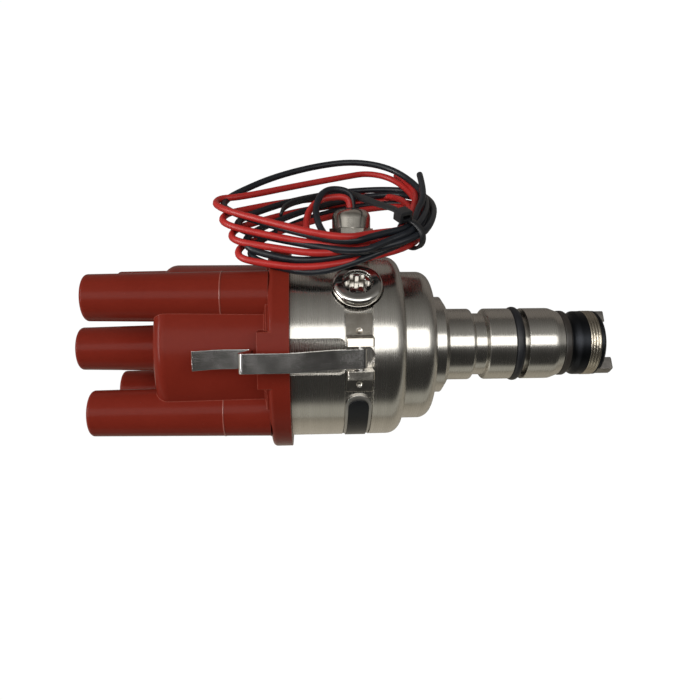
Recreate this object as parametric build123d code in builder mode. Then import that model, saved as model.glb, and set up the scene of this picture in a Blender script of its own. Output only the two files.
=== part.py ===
"""Electronic ignition distributor for a four-cylinder engine, built as separate seated pieces.

Frame: Z is the shaft axis and points to the cap, the shoulder that seats on the engine is z = 0,
the front clip lies towards -Y and the cable gland towards +X. All sizes are in millimetres.
"""
import os
from math import asin, cos, degrees, pi, radians, sin, tan

from build123d import *

# ---------------------------------------------------------------- shank and shoulder
shank_radius = 13.5
shank_length = 43.9
shank_lead_length = 3.4  # tapered lead-in at the free end
shank_lead_depth = 1.3
shank_lead_round = 4.0
clamp_groove_start = 9.8
clamp_groove_width = 5.6
clamp_groove_depth = 1.8
clamp_groove_flank = 0.9
clamp_groove_round = 1.1
seal_groove_rise = 13.7  # above the free end of the shank
seal_groove_width = 5.1
seal_groove_depth = 2.9
seal_section = 3.5
collar_radius = 18.1
collar_height = 6.2
shoulder_radius = 15.6
shoulder_rise = 1.7
# ---------------------------------------------------------------- housing
body_radius = 33.2
step_width = 5.6  # of the ledge between body and step
step_height = 11.4
step_fillet = 4.5
body_height = 39.4
body_fillet = 5.0
cavity_radius = 28.5
cavity_floor_rise = 4.4  # above the underside of the body
ledge_depth = 11.0  # dust cover ledge below the open rim
ledge_width = 1.0
band_groove_rise = 11.7
band_groove_width = 9.6
band_groove_depth = 1.1
clip_pocket_width = 12.0
clip_pocket_depth = 2.0
clip_pocket_round = 2.5
clip_slot_width = 6.8
post_angle = 30.0
post_circle_radius = 23.0
post_radius = 3.0
post_height = 5.0
# ---------------------------------------------------------------- shaft and bushes
shaft_radius = 6.0
neck_radius = 5.0
running_clearance = 0.03
axial_clearance = 0.1
bush_wall = 1.95
bush_length = 13.0
bore_relief = 0.8
thrust_washer_width = 1.0
thrust_washer_thickness = 1.0
clip_ring_thickness = 1.0
clip_ring_depth = 0.5
key_slot_width = 2.5
key_slot_depth = 1.25
key_length = 6.0
key_clearance = 0.1
# ---------------------------------------------------------------- drive end
washer_radius = 12.4
washer_thickness = 2.7
washer_round = 0.8
coupling_radius = 12.2
coupling_length = 12.8
coupling_shoulder_radius = 11.8
coupling_neck_radius = 10.8
coupling_neck_rise = 1.6  # from the end face to the narrowest place
coupling_neck_length = 3.5
coupling_round = 1.2
coupling_chamfer = 0.9
spring_groove_start = 6.7
spring_wire = 1.06
spring_coils = 4
spring_groove_depth = 0.95
dog_width = 4.5
dog_height = 4.5
dog_radius = 12.2
dog_gap_radius = 7.9
dog_angle = 28.3
dog_offset = 0.95  # of both lugs, so that the drive fits one way round only
dog_seat_depth = 1.4
dog_chamfer = 0.4
dog_end_gap = 0.2
pin_radius = 1.6
pin_end_gap = 0.4
# ---------------------------------------------------------------- cap
seat_gap = 0.05
flange_overhang = 3.9  # beyond the body
flange_thickness = 7.0
flange_fillet = 1.6
skirt_radius = 33.6
skirt_height = 0.9
skirt_slope = 0.7
dome_radius = 30.4
dome_height = 45.5
dome_fillet = 4.5
tower_circle_radius = 28.14
tower_tip_radius = 7.9
tower_base_radius = 8.9
tower_height = 68.4
tower_fillet = 1.3
centre_tower_tip_radius = 7.8
centre_tower_base_radius = 8.7
centre_tower_height = 77.6
block_width = 18.7
block_height = 3.5
spigot_depth = 2.5
spigot_clearance = 0.15
cap_bore_radius = 26.0
cap_bore_height = 40.5
socket_radius = 4.25
side_socket_depth = 20.0
centre_socket_depth = 24.0
terminal_radius = 3.6
side_terminal_reach = 15.5  # below the ceiling of the cap
contact_radius = 1.6
contact_depth = 2.0
centre_terminal_height = 4.0
brush_radius = 2.45
brush_clearance = 0.05
brush_length = 9.4
brush_boss_radius = 5.5
brush_boss_height = 4.5
brush_spring_clearance = 0.3
brush_spring_wire = 0.6
# ---------------------------------------------------------------- rotor
rotor_hub_radius = 8.0
rotor_hub_height = 20.0
rotor_arm_thickness = 6.0
rotor_arm_reach = 18.0
rotor_arm_end_radius = 3.8
rotor_arm_flare = 1.5
rotor_arm_point = 2.0
rotor_tail = 2.0
rotor_headroom = 5.6  # between blade and brush boss
shaft_cover = 6.0  # of moulding above the end of the shaft
rotor_tip_gap = 0.64
blade_width = 7.0
blade_thickness = 1.4
blade_overhang = 1.0
blade_round = 0.8
brush_gap = 0.1
rotor_angle = 45.0
# ---------------------------------------------------------------- spring clips
clip_thickness = 1.0
clip_width = 6.3
clip_side_shift = 0.7  # of clips and ears from the middle of the housing, towards the gland
clip_pin_radius = 1.0
clip_pin_clearance = 0.06
clip_pin_recess = 0.3  # of the pin ends below the outer faces of the ears
clip_pivot_stand = 3.4  # of the pin axis off the body
clip_pivot_rise = 16.3  # above the underside of the body
hook_gap = 0.7
hook_depth = 1.9
hook_dip = 0.3
clip_bow = 8.6
clip_foot_lean = 1.2
clip_crown_lean = 0.2
clip_fold_rise = 4.1
clip_tongue_length = 19.1
clip_tongue_curl = 3.4
clip_foot_bend = 12.0
clip_crown_bend = 20.0
clip_tongue_bend = 10.0
fold_radius = 1.3
ear_inner_span = 8.0
ear_thickness = 2.8
ear_reach = 2.7  # beyond the pivot
ear_round = 0.8
strip_thickness = 0.8
strip_side_gap = 0.35
strip_dent_radius = 1.2
strip_dent_depth = 0.6
strip_dent_gap = 2.1  # from the outer face of the ear to the middle of the dent
short_strip_end = 20.6
long_strip_end = 26.5
# ---------------------------------------------------------------- plug and curve switch
plug_angle = -46.0
plug_rise = 16.6
plug_flange_radius = 8.7
plug_flange_height = 4.0
plug_thread_radius = 6.5
plug_rim_fillet = 1.7
plug_mouth_radius = 5.25
plug_socket_depth = 3.0
plug_lobe_radius = 1.15
plug_lobe_circle_radius = 3.3
plug_mouth_depth = 1.1
plug_mouth_taper = 20.0
plug_thread_reach = 0.3  # of the thread beyond the wall
plug_seal_clearance = 0.1
spotface_depth = 1.2
spotface_gap = 0.3
plug_seal_section = 1.2
switch_rotor_radius = 3.0
switch_rotor_length = 2.4
switch_body_width = 9.0
switch_body_depth = 8.0
switch_wall_gap = 0.8
switch_spindle_radius = 1.4
switch_spindle_gap = 0.3
switch_arrow_width = 0.8
switch_arrow_depth = 0.9
switch_arrow_dot = 0.7
# ---------------------------------------------------------------- cable gland
gland_rise = 17.0
gland_thread_radius = 5.0
gland_flat_width = 14.0
gland_base_height = 5.0
gland_nut_hex_height = 6.0
gland_dome_radius = 7.05
gland_dome_height = 6.9
gland_thread_gap = 0.6
gland_nut_wall = 1.6
gland_dome_round = 3.1
gland_seal_radius = 3.4
gland_seal_proud = 0.5
gland_seal_chamfer = 0.4
lead_spacing = 2.6
lead_pair_tilt = 32.5  # of the line through both leads from the level
lead_diameter = 2.4
red_lead_points = [
    (2.4, 0.0, 0.0),
    (3.9, -0.1, 1.9),
    (3.9, 0.3, 6.1),
    (3.0, 0.1, 10.7),
    (-0.4, -2.9, 14.5),
    (-5.0, -7.7, 15.9),
    (-10.0, -13.4, 15.7),
    (-16.5, -20.9, 10.7),
]
black_lead_points = [
    (2.4, 0.0, 0.0),
    (5.8, 0.2, 1.1),
    (7.0, -0.1, 5.3),
    (6.4, -2.1, 9.9),
    (3.2, -6.3, 12.9),
    (-2.5, -10.6, 14.1),
    (-9.0, -16.9, 12.1),
    (-15.0, -24.1, 7.1),
]
# ---------------------------------------------------------------- electronics
board_thickness = 1.6
board_bore_radius = 13.6
board_edge_gap = 0.4
board_screw_radius = 1.25
board_screw_head_radius = 2.7
board_screw_head_height = 2.0
board_screw_clearance = 0.2
screw_slot_width = 0.8
screw_slot_depth = 0.8
wheel_gap = 1.0
wheel_hub_wall = 2.5
magnet_wheel_radius = 12.0
magnet_wheel_thickness = 5.0
magnet_radius = 1.5
magnet_depth = 2.0
magnet_length = 1.8
sensor_gap = 1.0
sensor_thickness = 1.5
sensor_width = 4.0
part_inset = 1.0  # of driver and capacitors from the circle of the posts
driver_depth = 5.0
driver_width = 10.0
driver_height = 9.0
driver_angle = -120.0
capacitor_radius = 3.0
capacitor_height = 8.0
cover_thickness = 1.6
cover_edge_gap = 0.1
cover_bore_gap = 0.8
cover_collar_width = 3.0
cover_collar_height = 2.5
cover_rib_width = 1.4
cover_rib_height = 1.2
# ---------------------------------------------------------------- type plate
plate_start_angle = -113.5
plate_span_angle = 64.0
plate_thickness = 0.9
label_thickness = 0.45
label_margin = 0.9
# ---------------------------------------------------------------- coil of leads and cable tie
coil_distance = 50.0  # from the shaft axis to the plane of the coil
coil_thickness = 16.0
coil_keep_out_gap = 0.6
# corners of the coil, as places along the shaft and across the coil, before they are rounded
coil_outline = [
    (2.5, -6.0),
    (7.0, -21.5),
    (19.5, -30.5),
    (34.0, -35.5),
    (70.0, -36.0),
    (86.0, -8.0),
    (80.0, 12.0),
    (38.0, 36.0),
    (10.0, 35.0),
    (2.5, 16.0),
]
coil_opening = [
    (15.0, -4.0),
    (16.0, -12.5),
    (26.0, -21.0),
    (38.0, -25.0),
    (56.0, -23.5),
    (64.0, -10.0),
    (52.0, 5.0),
    (28.0, 18.5),
    (15.5, 15.0),
]
tie_place = (15.0, -20.0)
tie_lean = 51.0  # of the way out through the tie from the direction along the shaft
bundle_width = 11.4
bundle_thickness = 10.2
bundle_corner = 4.6
tie_strap_width = 2.8
tie_strap_thickness = 1.1
tie_clearance = 0.15
tie_head_length = 4.2
tie_head_width = 5.2
tie_head_depth = 4.6

# ---------------------------------------------------------------- heights along the axis
step_radius = body_radius - step_width
flange_radius = body_radius + flange_overhang
clip_pivot_radius = body_radius + clip_pivot_stand
body_bottom = collar_height + step_height
body_top = body_bottom + body_height
cavity_floor = body_bottom + cavity_floor_rise
ledge_top = body_top - ledge_depth
rim_radius = cavity_radius + ledge_width
groove_bottom = body_bottom + band_groove_rise
groove_top = groove_bottom + band_groove_width
groove_radius = body_radius - band_groove_depth
groove_middle = (groove_bottom + groove_top) / 2
bush_radius = shaft_radius + running_clearance + bush_wall
seal_groove_bottom = -shank_length + seal_groove_rise
seal_groove_top = seal_groove_bottom + seal_groove_width
washer_top = -shank_length - axial_clearance
coupling_top = washer_top - washer_thickness
coupling_bottom = coupling_top - coupling_length
board_bottom = cavity_floor + post_height
board_top = board_bottom + board_thickness
cap_bottom = body_top + seat_gap
flange_top = cap_bottom + flange_thickness
block_top = flange_top + block_height
dome_top = cap_bottom + dome_height
ceiling = cap_bottom + cap_bore_height
tower_top = cap_bottom + tower_height
centre_tower_top = cap_bottom + centre_tower_height
side_socket_floor = tower_top - side_socket_depth
centre_socket_floor = centre_tower_top - centre_socket_depth
brush_boss_bottom = ceiling - brush_boss_height
blade_top = brush_boss_bottom - rotor_headroom
blade_bottom = blade_top - blade_thickness
rotor_bottom = blade_bottom - rotor_hub_height
shaft_top = blade_bottom - shaft_cover
brush_bottom = blade_top + brush_gap
brush_top = brush_bottom + brush_length
clip_pivot_height = body_bottom + clip_pivot_rise
plug_height = body_bottom + plug_rise
gland_height = body_bottom + gland_rise
spot_radius = body_radius - spotface_depth
cover_bottom = ledge_top


def radial_plane(angle, height, radius):
    """Plane whose normal points away from the shaft axis, with its x direction along the axis."""
    outward = Vector(cos(radians(angle)), sin(radians(angle)), 0)
    return Plane(origin=outward * radius + Vector(0, 0, height), x_dir=(0, 0, 1), z_dir=outward)


def circles_at(shape, radius, height):
    """Circular edges round the shaft axis with this radius at this height."""
    return [
        edge
        for edge in shape.edges().filter_by(GeomType.CIRCLE)
        if abs(edge.radius - radius) < 0.01 and abs(edge.arc_center.Z - height) < 0.01
    ]


def save(builder, name):
    """Label the finished piece and write it as its own STEP file."""
    builder.part.label = name
    export_step(builder.part, f"parts/{name}.step")


os.makedirs("parts", exist_ok=True)

# ================================================================ housing
with BuildPart() as housing:
    with BuildSketch(Plane.XZ):
        with BuildLine():
            clamp_groove_end = clamp_groove_start + clamp_groove_width
            Polyline(
                (bush_radius, -shank_length),
                (shank_radius - shank_lead_depth, -shank_length),
                (shank_radius, -shank_length + shank_lead_length),
                (shank_radius, seal_groove_bottom),
                (shank_radius - seal_groove_depth, seal_groove_bottom),
                (shank_radius - seal_groove_depth, seal_groove_top),
                (shank_radius, seal_groove_top),
                (shank_radius, -clamp_groove_end),
                (shank_radius - clamp_groove_depth, -clamp_groove_end + clamp_groove_flank),
                (shank_radius - clamp_groove_depth, -clamp_groove_start - clamp_groove_flank),
                (shank_radius, -clamp_groove_start),
                (shank_radius, 0),
                (shoulder_radius, 0),
                (collar_radius, shoulder_rise),
                (collar_radius, collar_height),
                (step_radius, collar_height),
                (step_radius, body_bottom),
                (body_radius, body_bottom),
                (body_radius, groove_bottom),
                (groove_radius, groove_bottom),
                (groove_radius, groove_top),
                (body_radius, groove_top),
                (body_radius, body_top),
                (rim_radius, body_top),
                (rim_radius, ledge_top),
                (cavity_radius, ledge_top),
                (cavity_radius, cavity_floor),
                (bush_radius, cavity_floor),
                (bush_radius, cavity_floor - bush_length),
                (bush_radius - bore_relief, cavity_floor - bush_length),
                (bush_radius - bore_relief, -shank_length + bush_length),
                (bush_radius, -shank_length + bush_length),
                close=True,
            )
        make_face()
    revolve(axis=Axis.Z)
    fillet(circles_at(housing.part, step_radius, collar_height), radius=step_fillet)
    fillet(circles_at(housing.part, body_radius, body_bottom), radius=body_fillet)
    fillet(circles_at(housing.part, shank_radius, -clamp_groove_start), radius=clamp_groove_round)
    fillet(circles_at(housing.part, shank_radius, -clamp_groove_end), radius=clamp_groove_round)
    fillet(
        circles_at(housing.part, shank_radius, -shank_length + shank_lead_length),
        radius=shank_lead_round,
    )
    # behind each clip, a pocket open to the cap and a narrower slot on through the band groove
    slot_round = clip_slot_width / 2
    slot_end = groove_bottom - spotface_gap
    pocket_length = body_top - groove_top + strip_side_gap
    for side in (1, -1):
        floor = (body_radius - clip_pocket_depth) * side
        with BuildSketch(Plane.XZ.offset(floor)):
            with Locations((clip_side_shift, body_top)):
                RectangleRounded(clip_pocket_width, pocket_length * 2, clip_pocket_round)
            with Locations((clip_side_shift, (slot_end + body_top) / 2)):
                RectangleRounded(clip_slot_width, body_top - slot_end, slot_round - 0.01)
        extrude(amount=clip_pocket_depth * 2 * side, mode=Mode.SUBTRACT)
    # spot faces and threaded holes of the plug and the cable gland
    with BuildSketch(radial_plane(plug_angle, plug_height, spot_radius)):
        Circle(plug_flange_radius + spotface_gap)
    extrude(amount=spotface_depth * 2, mode=Mode.SUBTRACT)
    with BuildSketch(radial_plane(plug_angle, plug_height, spot_radius)):
        Circle(plug_thread_radius)
    extrude(amount=-spot_radius + cavity_radius - spotface_depth, mode=Mode.SUBTRACT)
    with BuildSketch(radial_plane(0, gland_height, spot_radius)):
        Circle(gland_flat_width / 2 / cos(pi / 6) + spotface_gap)
    extrude(amount=spotface_depth * 2, mode=Mode.SUBTRACT)
    with BuildSketch(radial_plane(0, gland_height, spot_radius)):
        Circle(gland_thread_radius)
    extrude(amount=-spot_radius + cavity_radius - spotface_depth, mode=Mode.SUBTRACT)
    # three posts with screw holes for the circuit board
    with BuildSketch(Plane.XY.offset(cavity_floor)):
        with PolarLocations(post_circle_radius, 3, post_angle):
            Circle(post_radius)
            Circle(board_screw_radius, mode=Mode.SUBTRACT)
    extrude(amount=post_height)
save(housing, "housing")

# ================================================================ shank seal
with BuildPart() as shank_seal:
    seal_centre_radius = shank_radius - seal_groove_depth + seal_section / 2
    with BuildSketch(Plane.XZ):
        with Locations((seal_centre_radius, seal_groove_top - seal_section / 2)):
            Circle(seal_section / 2)
    revolve(axis=Axis.Z)
save(shank_seal, "shank_seal")

# ================================================================ bushes
for name, start in (("upper_bush", cavity_floor - bush_length), ("lower_bush", -shank_length)):
    with BuildPart() as bush:
        with BuildSketch(Plane.XY.offset(start)):
            Circle(bush_radius)
            Circle(shaft_radius + running_clearance, mode=Mode.SUBTRACT)
        extrude(amount=bush_length)
    save(bush, name)

# ================================================================ shaft
shaft_step_height = cavity_floor + axial_clearance
clip_ring_bottom = shaft_step_height + thrust_washer_thickness
wheel_bottom = board_top + wheel_gap
cross_pin_height = coupling_top - spring_groove_start - spring_wire * spring_coils / 2
shaft_bottom = coupling_bottom + dog_seat_depth + dog_end_gap
with BuildPart() as main_shaft:
    with BuildSketch(Plane.XZ):
        with BuildLine():
            Polyline(
                (0, shaft_bottom),
                (shaft_radius, shaft_bottom),
                (shaft_radius, clip_ring_bottom),
                (shaft_radius - clip_ring_depth, clip_ring_bottom),
                (shaft_radius - clip_ring_depth, clip_ring_bottom + clip_ring_thickness),
                (shaft_radius, clip_ring_bottom + clip_ring_thickness),
                (shaft_radius, wheel_bottom),
                (neck_radius, wheel_bottom),
                (neck_radius, shaft_top),
                (0, shaft_top),
                close=True,
            )
        make_face()
    revolve(axis=Axis.Z)
    # key slot for the rotor arm
    with BuildSketch(Plane.XY.offset(shaft_top).rotated((0, 0, rotor_angle))):
        with Locations((neck_radius, 0)):
            Rectangle(key_slot_depth * 2, key_slot_width)
    extrude(amount=-key_length, mode=Mode.SUBTRACT)
    with BuildSketch(Plane.XZ.rotated((0, 0, dog_angle))):
        with Locations((0, cross_pin_height)):
            Circle(pin_radius)
    extrude(amount=shaft_radius * 2, both=True, mode=Mode.SUBTRACT)
save(main_shaft, "main_shaft")

with BuildPart() as thrust_washer:
    with BuildSketch(Plane.XY.offset(shaft_step_height)):
        Circle(bush_radius + thrust_washer_width)
        Circle(shaft_radius, mode=Mode.SUBTRACT)
    extrude(amount=thrust_washer_thickness)
save(thrust_washer, "thrust_washer")

with BuildPart() as shaft_circlip:
    with BuildSketch(Plane.XY.offset(clip_ring_bottom)):
        Circle(bush_radius)
        Circle(shaft_radius - clip_ring_depth, mode=Mode.SUBTRACT)
        with Locations((-bush_radius, 0)):
            Rectangle(bush_radius * 2, shaft_radius, mode=Mode.SUBTRACT)
    extrude(amount=clip_ring_thickness)
save(shaft_circlip, "shaft_circlip")

# ================================================================ trigger wheel
with BuildPart() as magnet_wheel:
    with BuildSketch(Plane.XY.offset(wheel_bottom)):
        Circle(magnet_wheel_radius)
        Circle(neck_radius, mode=Mode.SUBTRACT)
    extrude(amount=magnet_wheel_thickness)
    with BuildSketch(Plane.XY.offset(wheel_bottom + magnet_wheel_thickness)):
        Circle(neck_radius + wheel_hub_wall)
        Circle(neck_radius, mode=Mode.SUBTRACT)
    extrude(amount=magnet_wheel_thickness / 2)
    magnet_height = wheel_bottom + magnet_wheel_thickness / 2
    for angle in (45, 135, 225, 315):
        with BuildSketch(radial_plane(angle, magnet_height, magnet_wheel_radius - magnet_depth)):
            Circle(magnet_radius)
        extrude(amount=magnet_depth * 2, mode=Mode.SUBTRACT)
save(magnet_wheel, "magnet_wheel")

with BuildPart() as magnets:
    for angle in (45, 135, 225, 315):
        with BuildSketch(radial_plane(angle, magnet_height, magnet_wheel_radius - magnet_depth)):
            Circle(magnet_radius)
        extrude(amount=magnet_length)
save(magnets, "magnets")

# ================================================================ drive end
with BuildPart() as drive_washer:
    with BuildSketch(Plane.XY.offset(coupling_top)):
        Circle(washer_radius)
        Circle(shaft_radius, mode=Mode.SUBTRACT)
    extrude(amount=washer_thickness)
    fillet(circles_at(drive_washer.part, washer_radius, coupling_top), radius=washer_round)
    fillet(circles_at(drive_washer.part, washer_radius, washer_top), radius=washer_round)
save(drive_washer, "drive_washer")

spring_groove_top = coupling_top - spring_groove_start
spring_groove_bottom = spring_groove_top - spring_wire * spring_coils
spring_floor_radius = coupling_radius - spring_groove_depth
with BuildPart() as drive_coupling:
    with BuildSketch(Plane.XZ):
        with BuildLine():
            Polyline(
                (shaft_radius, coupling_top),
                (coupling_shoulder_radius, coupling_top),
                (coupling_neck_radius, coupling_top - coupling_neck_rise),
                (coupling_radius, coupling_top - coupling_neck_length),
                (coupling_radius, spring_groove_top),
                (spring_floor_radius, spring_groove_top),
                (spring_floor_radius, spring_groove_bottom),
                (coupling_radius, spring_groove_bottom),
                (coupling_radius, coupling_bottom + coupling_chamfer),
                (coupling_radius - coupling_chamfer, coupling_bottom),
                (0, coupling_bottom),
                (0, shaft_bottom),
                (shaft_radius, shaft_bottom),
                close=True,
            )
        make_face()
    revolve(axis=Axis.Z)
    waist = circles_at(drive_coupling.part, coupling_neck_radius, coupling_top - coupling_neck_rise)
    crown = circles_at(drive_coupling.part, coupling_radius, coupling_top - coupling_neck_length)
    fillet(waist + crown, radius=coupling_round)
    with BuildSketch(Plane.XY.offset(coupling_bottom).rotated((0, 0, dog_angle))):
        with Locations((0, -dog_offset)):
            Rectangle(coupling_radius * 3, dog_width)
    extrude(amount=dog_seat_depth, mode=Mode.SUBTRACT)
    with BuildSketch(Plane.XZ.rotated((0, 0, dog_angle))):
        with Locations((0, cross_pin_height)):
            Circle(pin_radius)
    extrude(amount=coupling_radius * 2, both=True, mode=Mode.SUBTRACT)
save(drive_coupling, "drive_coupling")

with BuildPart() as drive_dog:
    dog_plane = Plane.XY.offset(coupling_bottom).rotated((0, 0, dog_angle))
    with BuildSketch(dog_plane):
        with Locations((0, -dog_offset)):
            Rectangle(coupling_radius * 3, dog_width)
        Circle(dog_radius, mode=Mode.INTERSECT)
    extrude(amount=dog_seat_depth)
    with BuildSketch(dog_plane):
        with Locations((0, -dog_offset)):
            Rectangle(coupling_radius * 3, dog_width)
        Circle(dog_radius, mode=Mode.INTERSECT)
        Circle(dog_gap_radius, mode=Mode.SUBTRACT)
    extrude(amount=-dog_height)
    tips = drive_dog.edges().group_by(Axis.Z)[0]
    chamfer(tips, length=dog_chamfer)
save(drive_dog, "drive_dog")

with BuildPart() as cross_pin:
    with BuildSketch(Plane.XZ.rotated((0, 0, dog_angle))):
        with Locations((0, cross_pin_height)):
            Circle(pin_radius)
    extrude(amount=spring_floor_radius - pin_end_gap, both=True)
save(cross_pin, "cross_pin")

with BuildPart() as retaining_spring:
    spring_centre_radius = spring_floor_radius + spring_wire / 2
    with BuildSketch(Plane.XZ):
        for coil in range(spring_coils):
            with Locations((spring_centre_radius, spring_groove_top - spring_wire * (coil + 0.5))):
                Circle(spring_wire / 2)
        with Locations((spring_centre_radius, (spring_groove_top + spring_groove_bottom) / 2)):
            Rectangle(spring_wire / 3, spring_wire * (spring_coils - 1))
    revolve(axis=Axis.Z)
save(retaining_spring, "retaining_spring")

# ================================================================ electronics
board_radius = cavity_radius - board_edge_gap
with BuildPart() as circuit_board:
    with BuildSketch(Plane.XY.offset(board_bottom)):
        Circle(board_radius)
        Circle(board_bore_radius, mode=Mode.SUBTRACT)
        with PolarLocations(post_circle_radius, 3, post_angle):
            Circle(board_screw_radius + board_screw_clearance, mode=Mode.SUBTRACT)
    extrude(amount=board_thickness)
save(circuit_board, "circuit_board")

with BuildPart() as board_screws:
    with BuildSketch(Plane.XY.offset(board_top)):
        with PolarLocations(post_circle_radius, 3, post_angle):
            Circle(board_screw_head_radius)
    extrude(amount=board_screw_head_height)
    with BuildSketch(Plane.XY.offset(board_top)):
        with PolarLocations(post_circle_radius, 3, post_angle):
            Circle(board_screw_radius)
    extrude(amount=-board_thickness - post_height * 0.8)
    with BuildSketch(Plane.XY.offset(board_top + board_screw_head_height)):
        with PolarLocations(post_circle_radius, 3, post_angle):
            Rectangle(board_screw_head_radius * 1.5, screw_slot_width)
    extrude(amount=-screw_slot_depth, mode=Mode.SUBTRACT)
save(board_screws, "board_screws")

sensor_radius = magnet_wheel_radius + sensor_gap
with BuildPart() as hall_sensors:
    for angle in (90, 180):
        with BuildSketch(Plane.XY.offset(board_top)):
            with PolarLocations(sensor_radius + sensor_thickness / 2, 1, angle):
                Rectangle(sensor_thickness, sensor_width)
        extrude(amount=magnet_wheel_thickness)
save(hall_sensors, "hall_sensors")

with BuildPart() as coil_driver:
    with BuildSketch(Plane.XY.offset(board_top)):
        with PolarLocations(post_circle_radius - part_inset, 1, driver_angle):
            Rectangle(driver_depth, driver_width)
    extrude(amount=driver_height)
save(coil_driver, "coil_driver")

with BuildPart() as capacitors:
    with BuildSketch(Plane.XY.offset(board_top)):
        for angle in (75, 105):
            with PolarLocations(post_circle_radius - part_inset, 1, angle):
                Circle(capacitor_radius)
    extrude(amount=capacitor_height)
save(capacitors, "capacitors")

switch_face_radius = cavity_radius - switch_rotor_length - switch_wall_gap
with BuildPart() as curve_switch:
    with BuildSketch(radial_plane(plug_angle, plug_height, switch_face_radius)):
        Rectangle(2 * (plug_height - board_top), switch_body_width)
    extrude(amount=-switch_body_depth)
    with BuildSketch(radial_plane(plug_angle, plug_height, switch_face_radius)):
        Circle(switch_spindle_radius + running_clearance)
    extrude(amount=-switch_body_depth / 2, mode=Mode.SUBTRACT)
save(curve_switch, "curve_switch")

with BuildPart() as switch_knob:
    with BuildSketch(radial_plane(plug_angle, plug_height, switch_face_radius + axial_clearance)):
        Circle(switch_rotor_radius)
    extrude(amount=switch_rotor_length)
    with BuildSketch(radial_plane(plug_angle, plug_height, switch_face_radius + axial_clearance)):
        Circle(switch_spindle_radius)
    extrude(amount=-switch_body_depth / 2 + switch_spindle_gap)
    knob_face = switch_face_radius + axial_clearance + switch_rotor_length
    with BuildSketch(radial_plane(plug_angle, plug_height, knob_face)):
        Rectangle(switch_rotor_radius * 1.6, switch_arrow_width)
        with Locations((switch_rotor_radius * 0.7, 0)):
            Circle(switch_arrow_dot)
    extrude(amount=-switch_arrow_depth, mode=Mode.SUBTRACT)
save(switch_knob, "switch_knob")

with BuildPart() as dust_cover:
    with BuildSketch(Plane.XY.offset(cover_bottom)):
        Circle(rim_radius - cover_edge_gap)
        Circle(neck_radius + cover_bore_gap, mode=Mode.SUBTRACT)
    extrude(amount=cover_thickness)
    with BuildSketch(Plane.XY.offset(cover_bottom + cover_thickness)):
        Circle(neck_radius + cover_collar_width)
        Circle(neck_radius + cover_bore_gap, mode=Mode.SUBTRACT)
    extrude(amount=cover_collar_height)
    with BuildSketch(Plane.XY.offset(cover_bottom + cover_thickness)):
        with PolarLocations(rim_radius * 0.62, 6, 15):
            Rectangle(rim_radius * 0.55, cover_rib_width)
    extrude(amount=cover_rib_height)
save(dust_cover, "dust_cover")

# ================================================================ plug
plug_plane = radial_plane(plug_angle, plug_height, spot_radius)
with BuildPart() as switch_plug:
    with BuildSketch(plug_plane):
        Circle(plug_flange_radius)
    extrude(amount=plug_flange_height)
    plug_rim = switch_plug.edges().filter_by(GeomType.CIRCLE)
    fillet(plug_rim, radius=plug_rim_fillet)
    with BuildSketch(plug_plane):
        Circle(plug_thread_radius)
    extrude(amount=-spot_radius + cavity_radius + plug_thread_reach)
    with BuildSketch(plug_plane.offset(plug_flange_height)):
        Circle(plug_mouth_radius)
    extrude(amount=-plug_mouth_depth, taper=plug_mouth_taper, mode=Mode.SUBTRACT)
    with BuildSketch(plug_plane.offset(plug_flange_height)):
        Circle(plug_lobe_circle_radius)
        with PolarLocations(plug_lobe_circle_radius, 6):
            Circle(plug_lobe_radius)
    extrude(amount=-plug_socket_depth - plug_mouth_depth, mode=Mode.SUBTRACT)
    with BuildSketch(plug_plane):
        Circle(plug_thread_radius + plug_seal_section)
        Circle(plug_thread_radius, mode=Mode.SUBTRACT)
    extrude(amount=plug_seal_section, mode=Mode.SUBTRACT)
save(switch_plug, "switch_plug")

with BuildPart() as plug_seal:
    with BuildSketch(plug_plane):
        Circle(plug_thread_radius + plug_seal_section - plug_seal_clearance)
        Circle(plug_thread_radius, mode=Mode.SUBTRACT)
    extrude(amount=plug_seal_section)
save(plug_seal, "plug_seal")

# ================================================================ cable gland
gland_plane = radial_plane(0, gland_height, spot_radius)
hex_radius = gland_flat_width / 2 / cos(pi / 6)
nut_start = gland_base_height + gland_thread_gap
dome_start = nut_start + gland_nut_hex_height
gland_top = dome_start + gland_dome_height
nut_thread_radius = gland_dome_radius - gland_nut_wall
with BuildPart() as gland_body:
    with BuildSketch(gland_plane):
        RegularPolygon(hex_radius, 6)
    extrude(amount=gland_base_height)
    with BuildSketch(gland_plane.offset(gland_base_height)):
        Circle(nut_thread_radius)
    extrude(amount=gland_thread_gap + gland_nut_hex_height)
    with BuildSketch(gland_plane):
        Circle(gland_thread_radius)
    extrude(amount=-spot_radius + cavity_radius)
    with BuildSketch(gland_plane.offset(dome_start)):
        Circle(gland_seal_radius)
    extrude(amount=-spot_radius, mode=Mode.SUBTRACT)
save(gland_body, "gland_body")

with BuildPart() as gland_nut:
    with BuildSketch(gland_plane.offset(nut_start)):
        RegularPolygon(hex_radius, 6)
    extrude(amount=gland_nut_hex_height)
    with BuildSketch(gland_plane.offset(dome_start)):
        Circle(gland_dome_radius)
    extrude(amount=gland_dome_height)
    dome_rim = gland_nut.edges().filter_by(GeomType.CIRCLE).sort_by(Axis.X)[-1]
    fillet(dome_rim, radius=gland_dome_round)
    with BuildSketch(gland_plane.offset(nut_start)):
        Circle(nut_thread_radius)
    extrude(amount=gland_nut_hex_height, mode=Mode.SUBTRACT)
    with BuildSketch(gland_plane.offset(gland_top)):
        Circle(gland_seal_radius)
    extrude(amount=-gland_top, mode=Mode.SUBTRACT)
save(gland_nut, "gland_nut")

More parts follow.
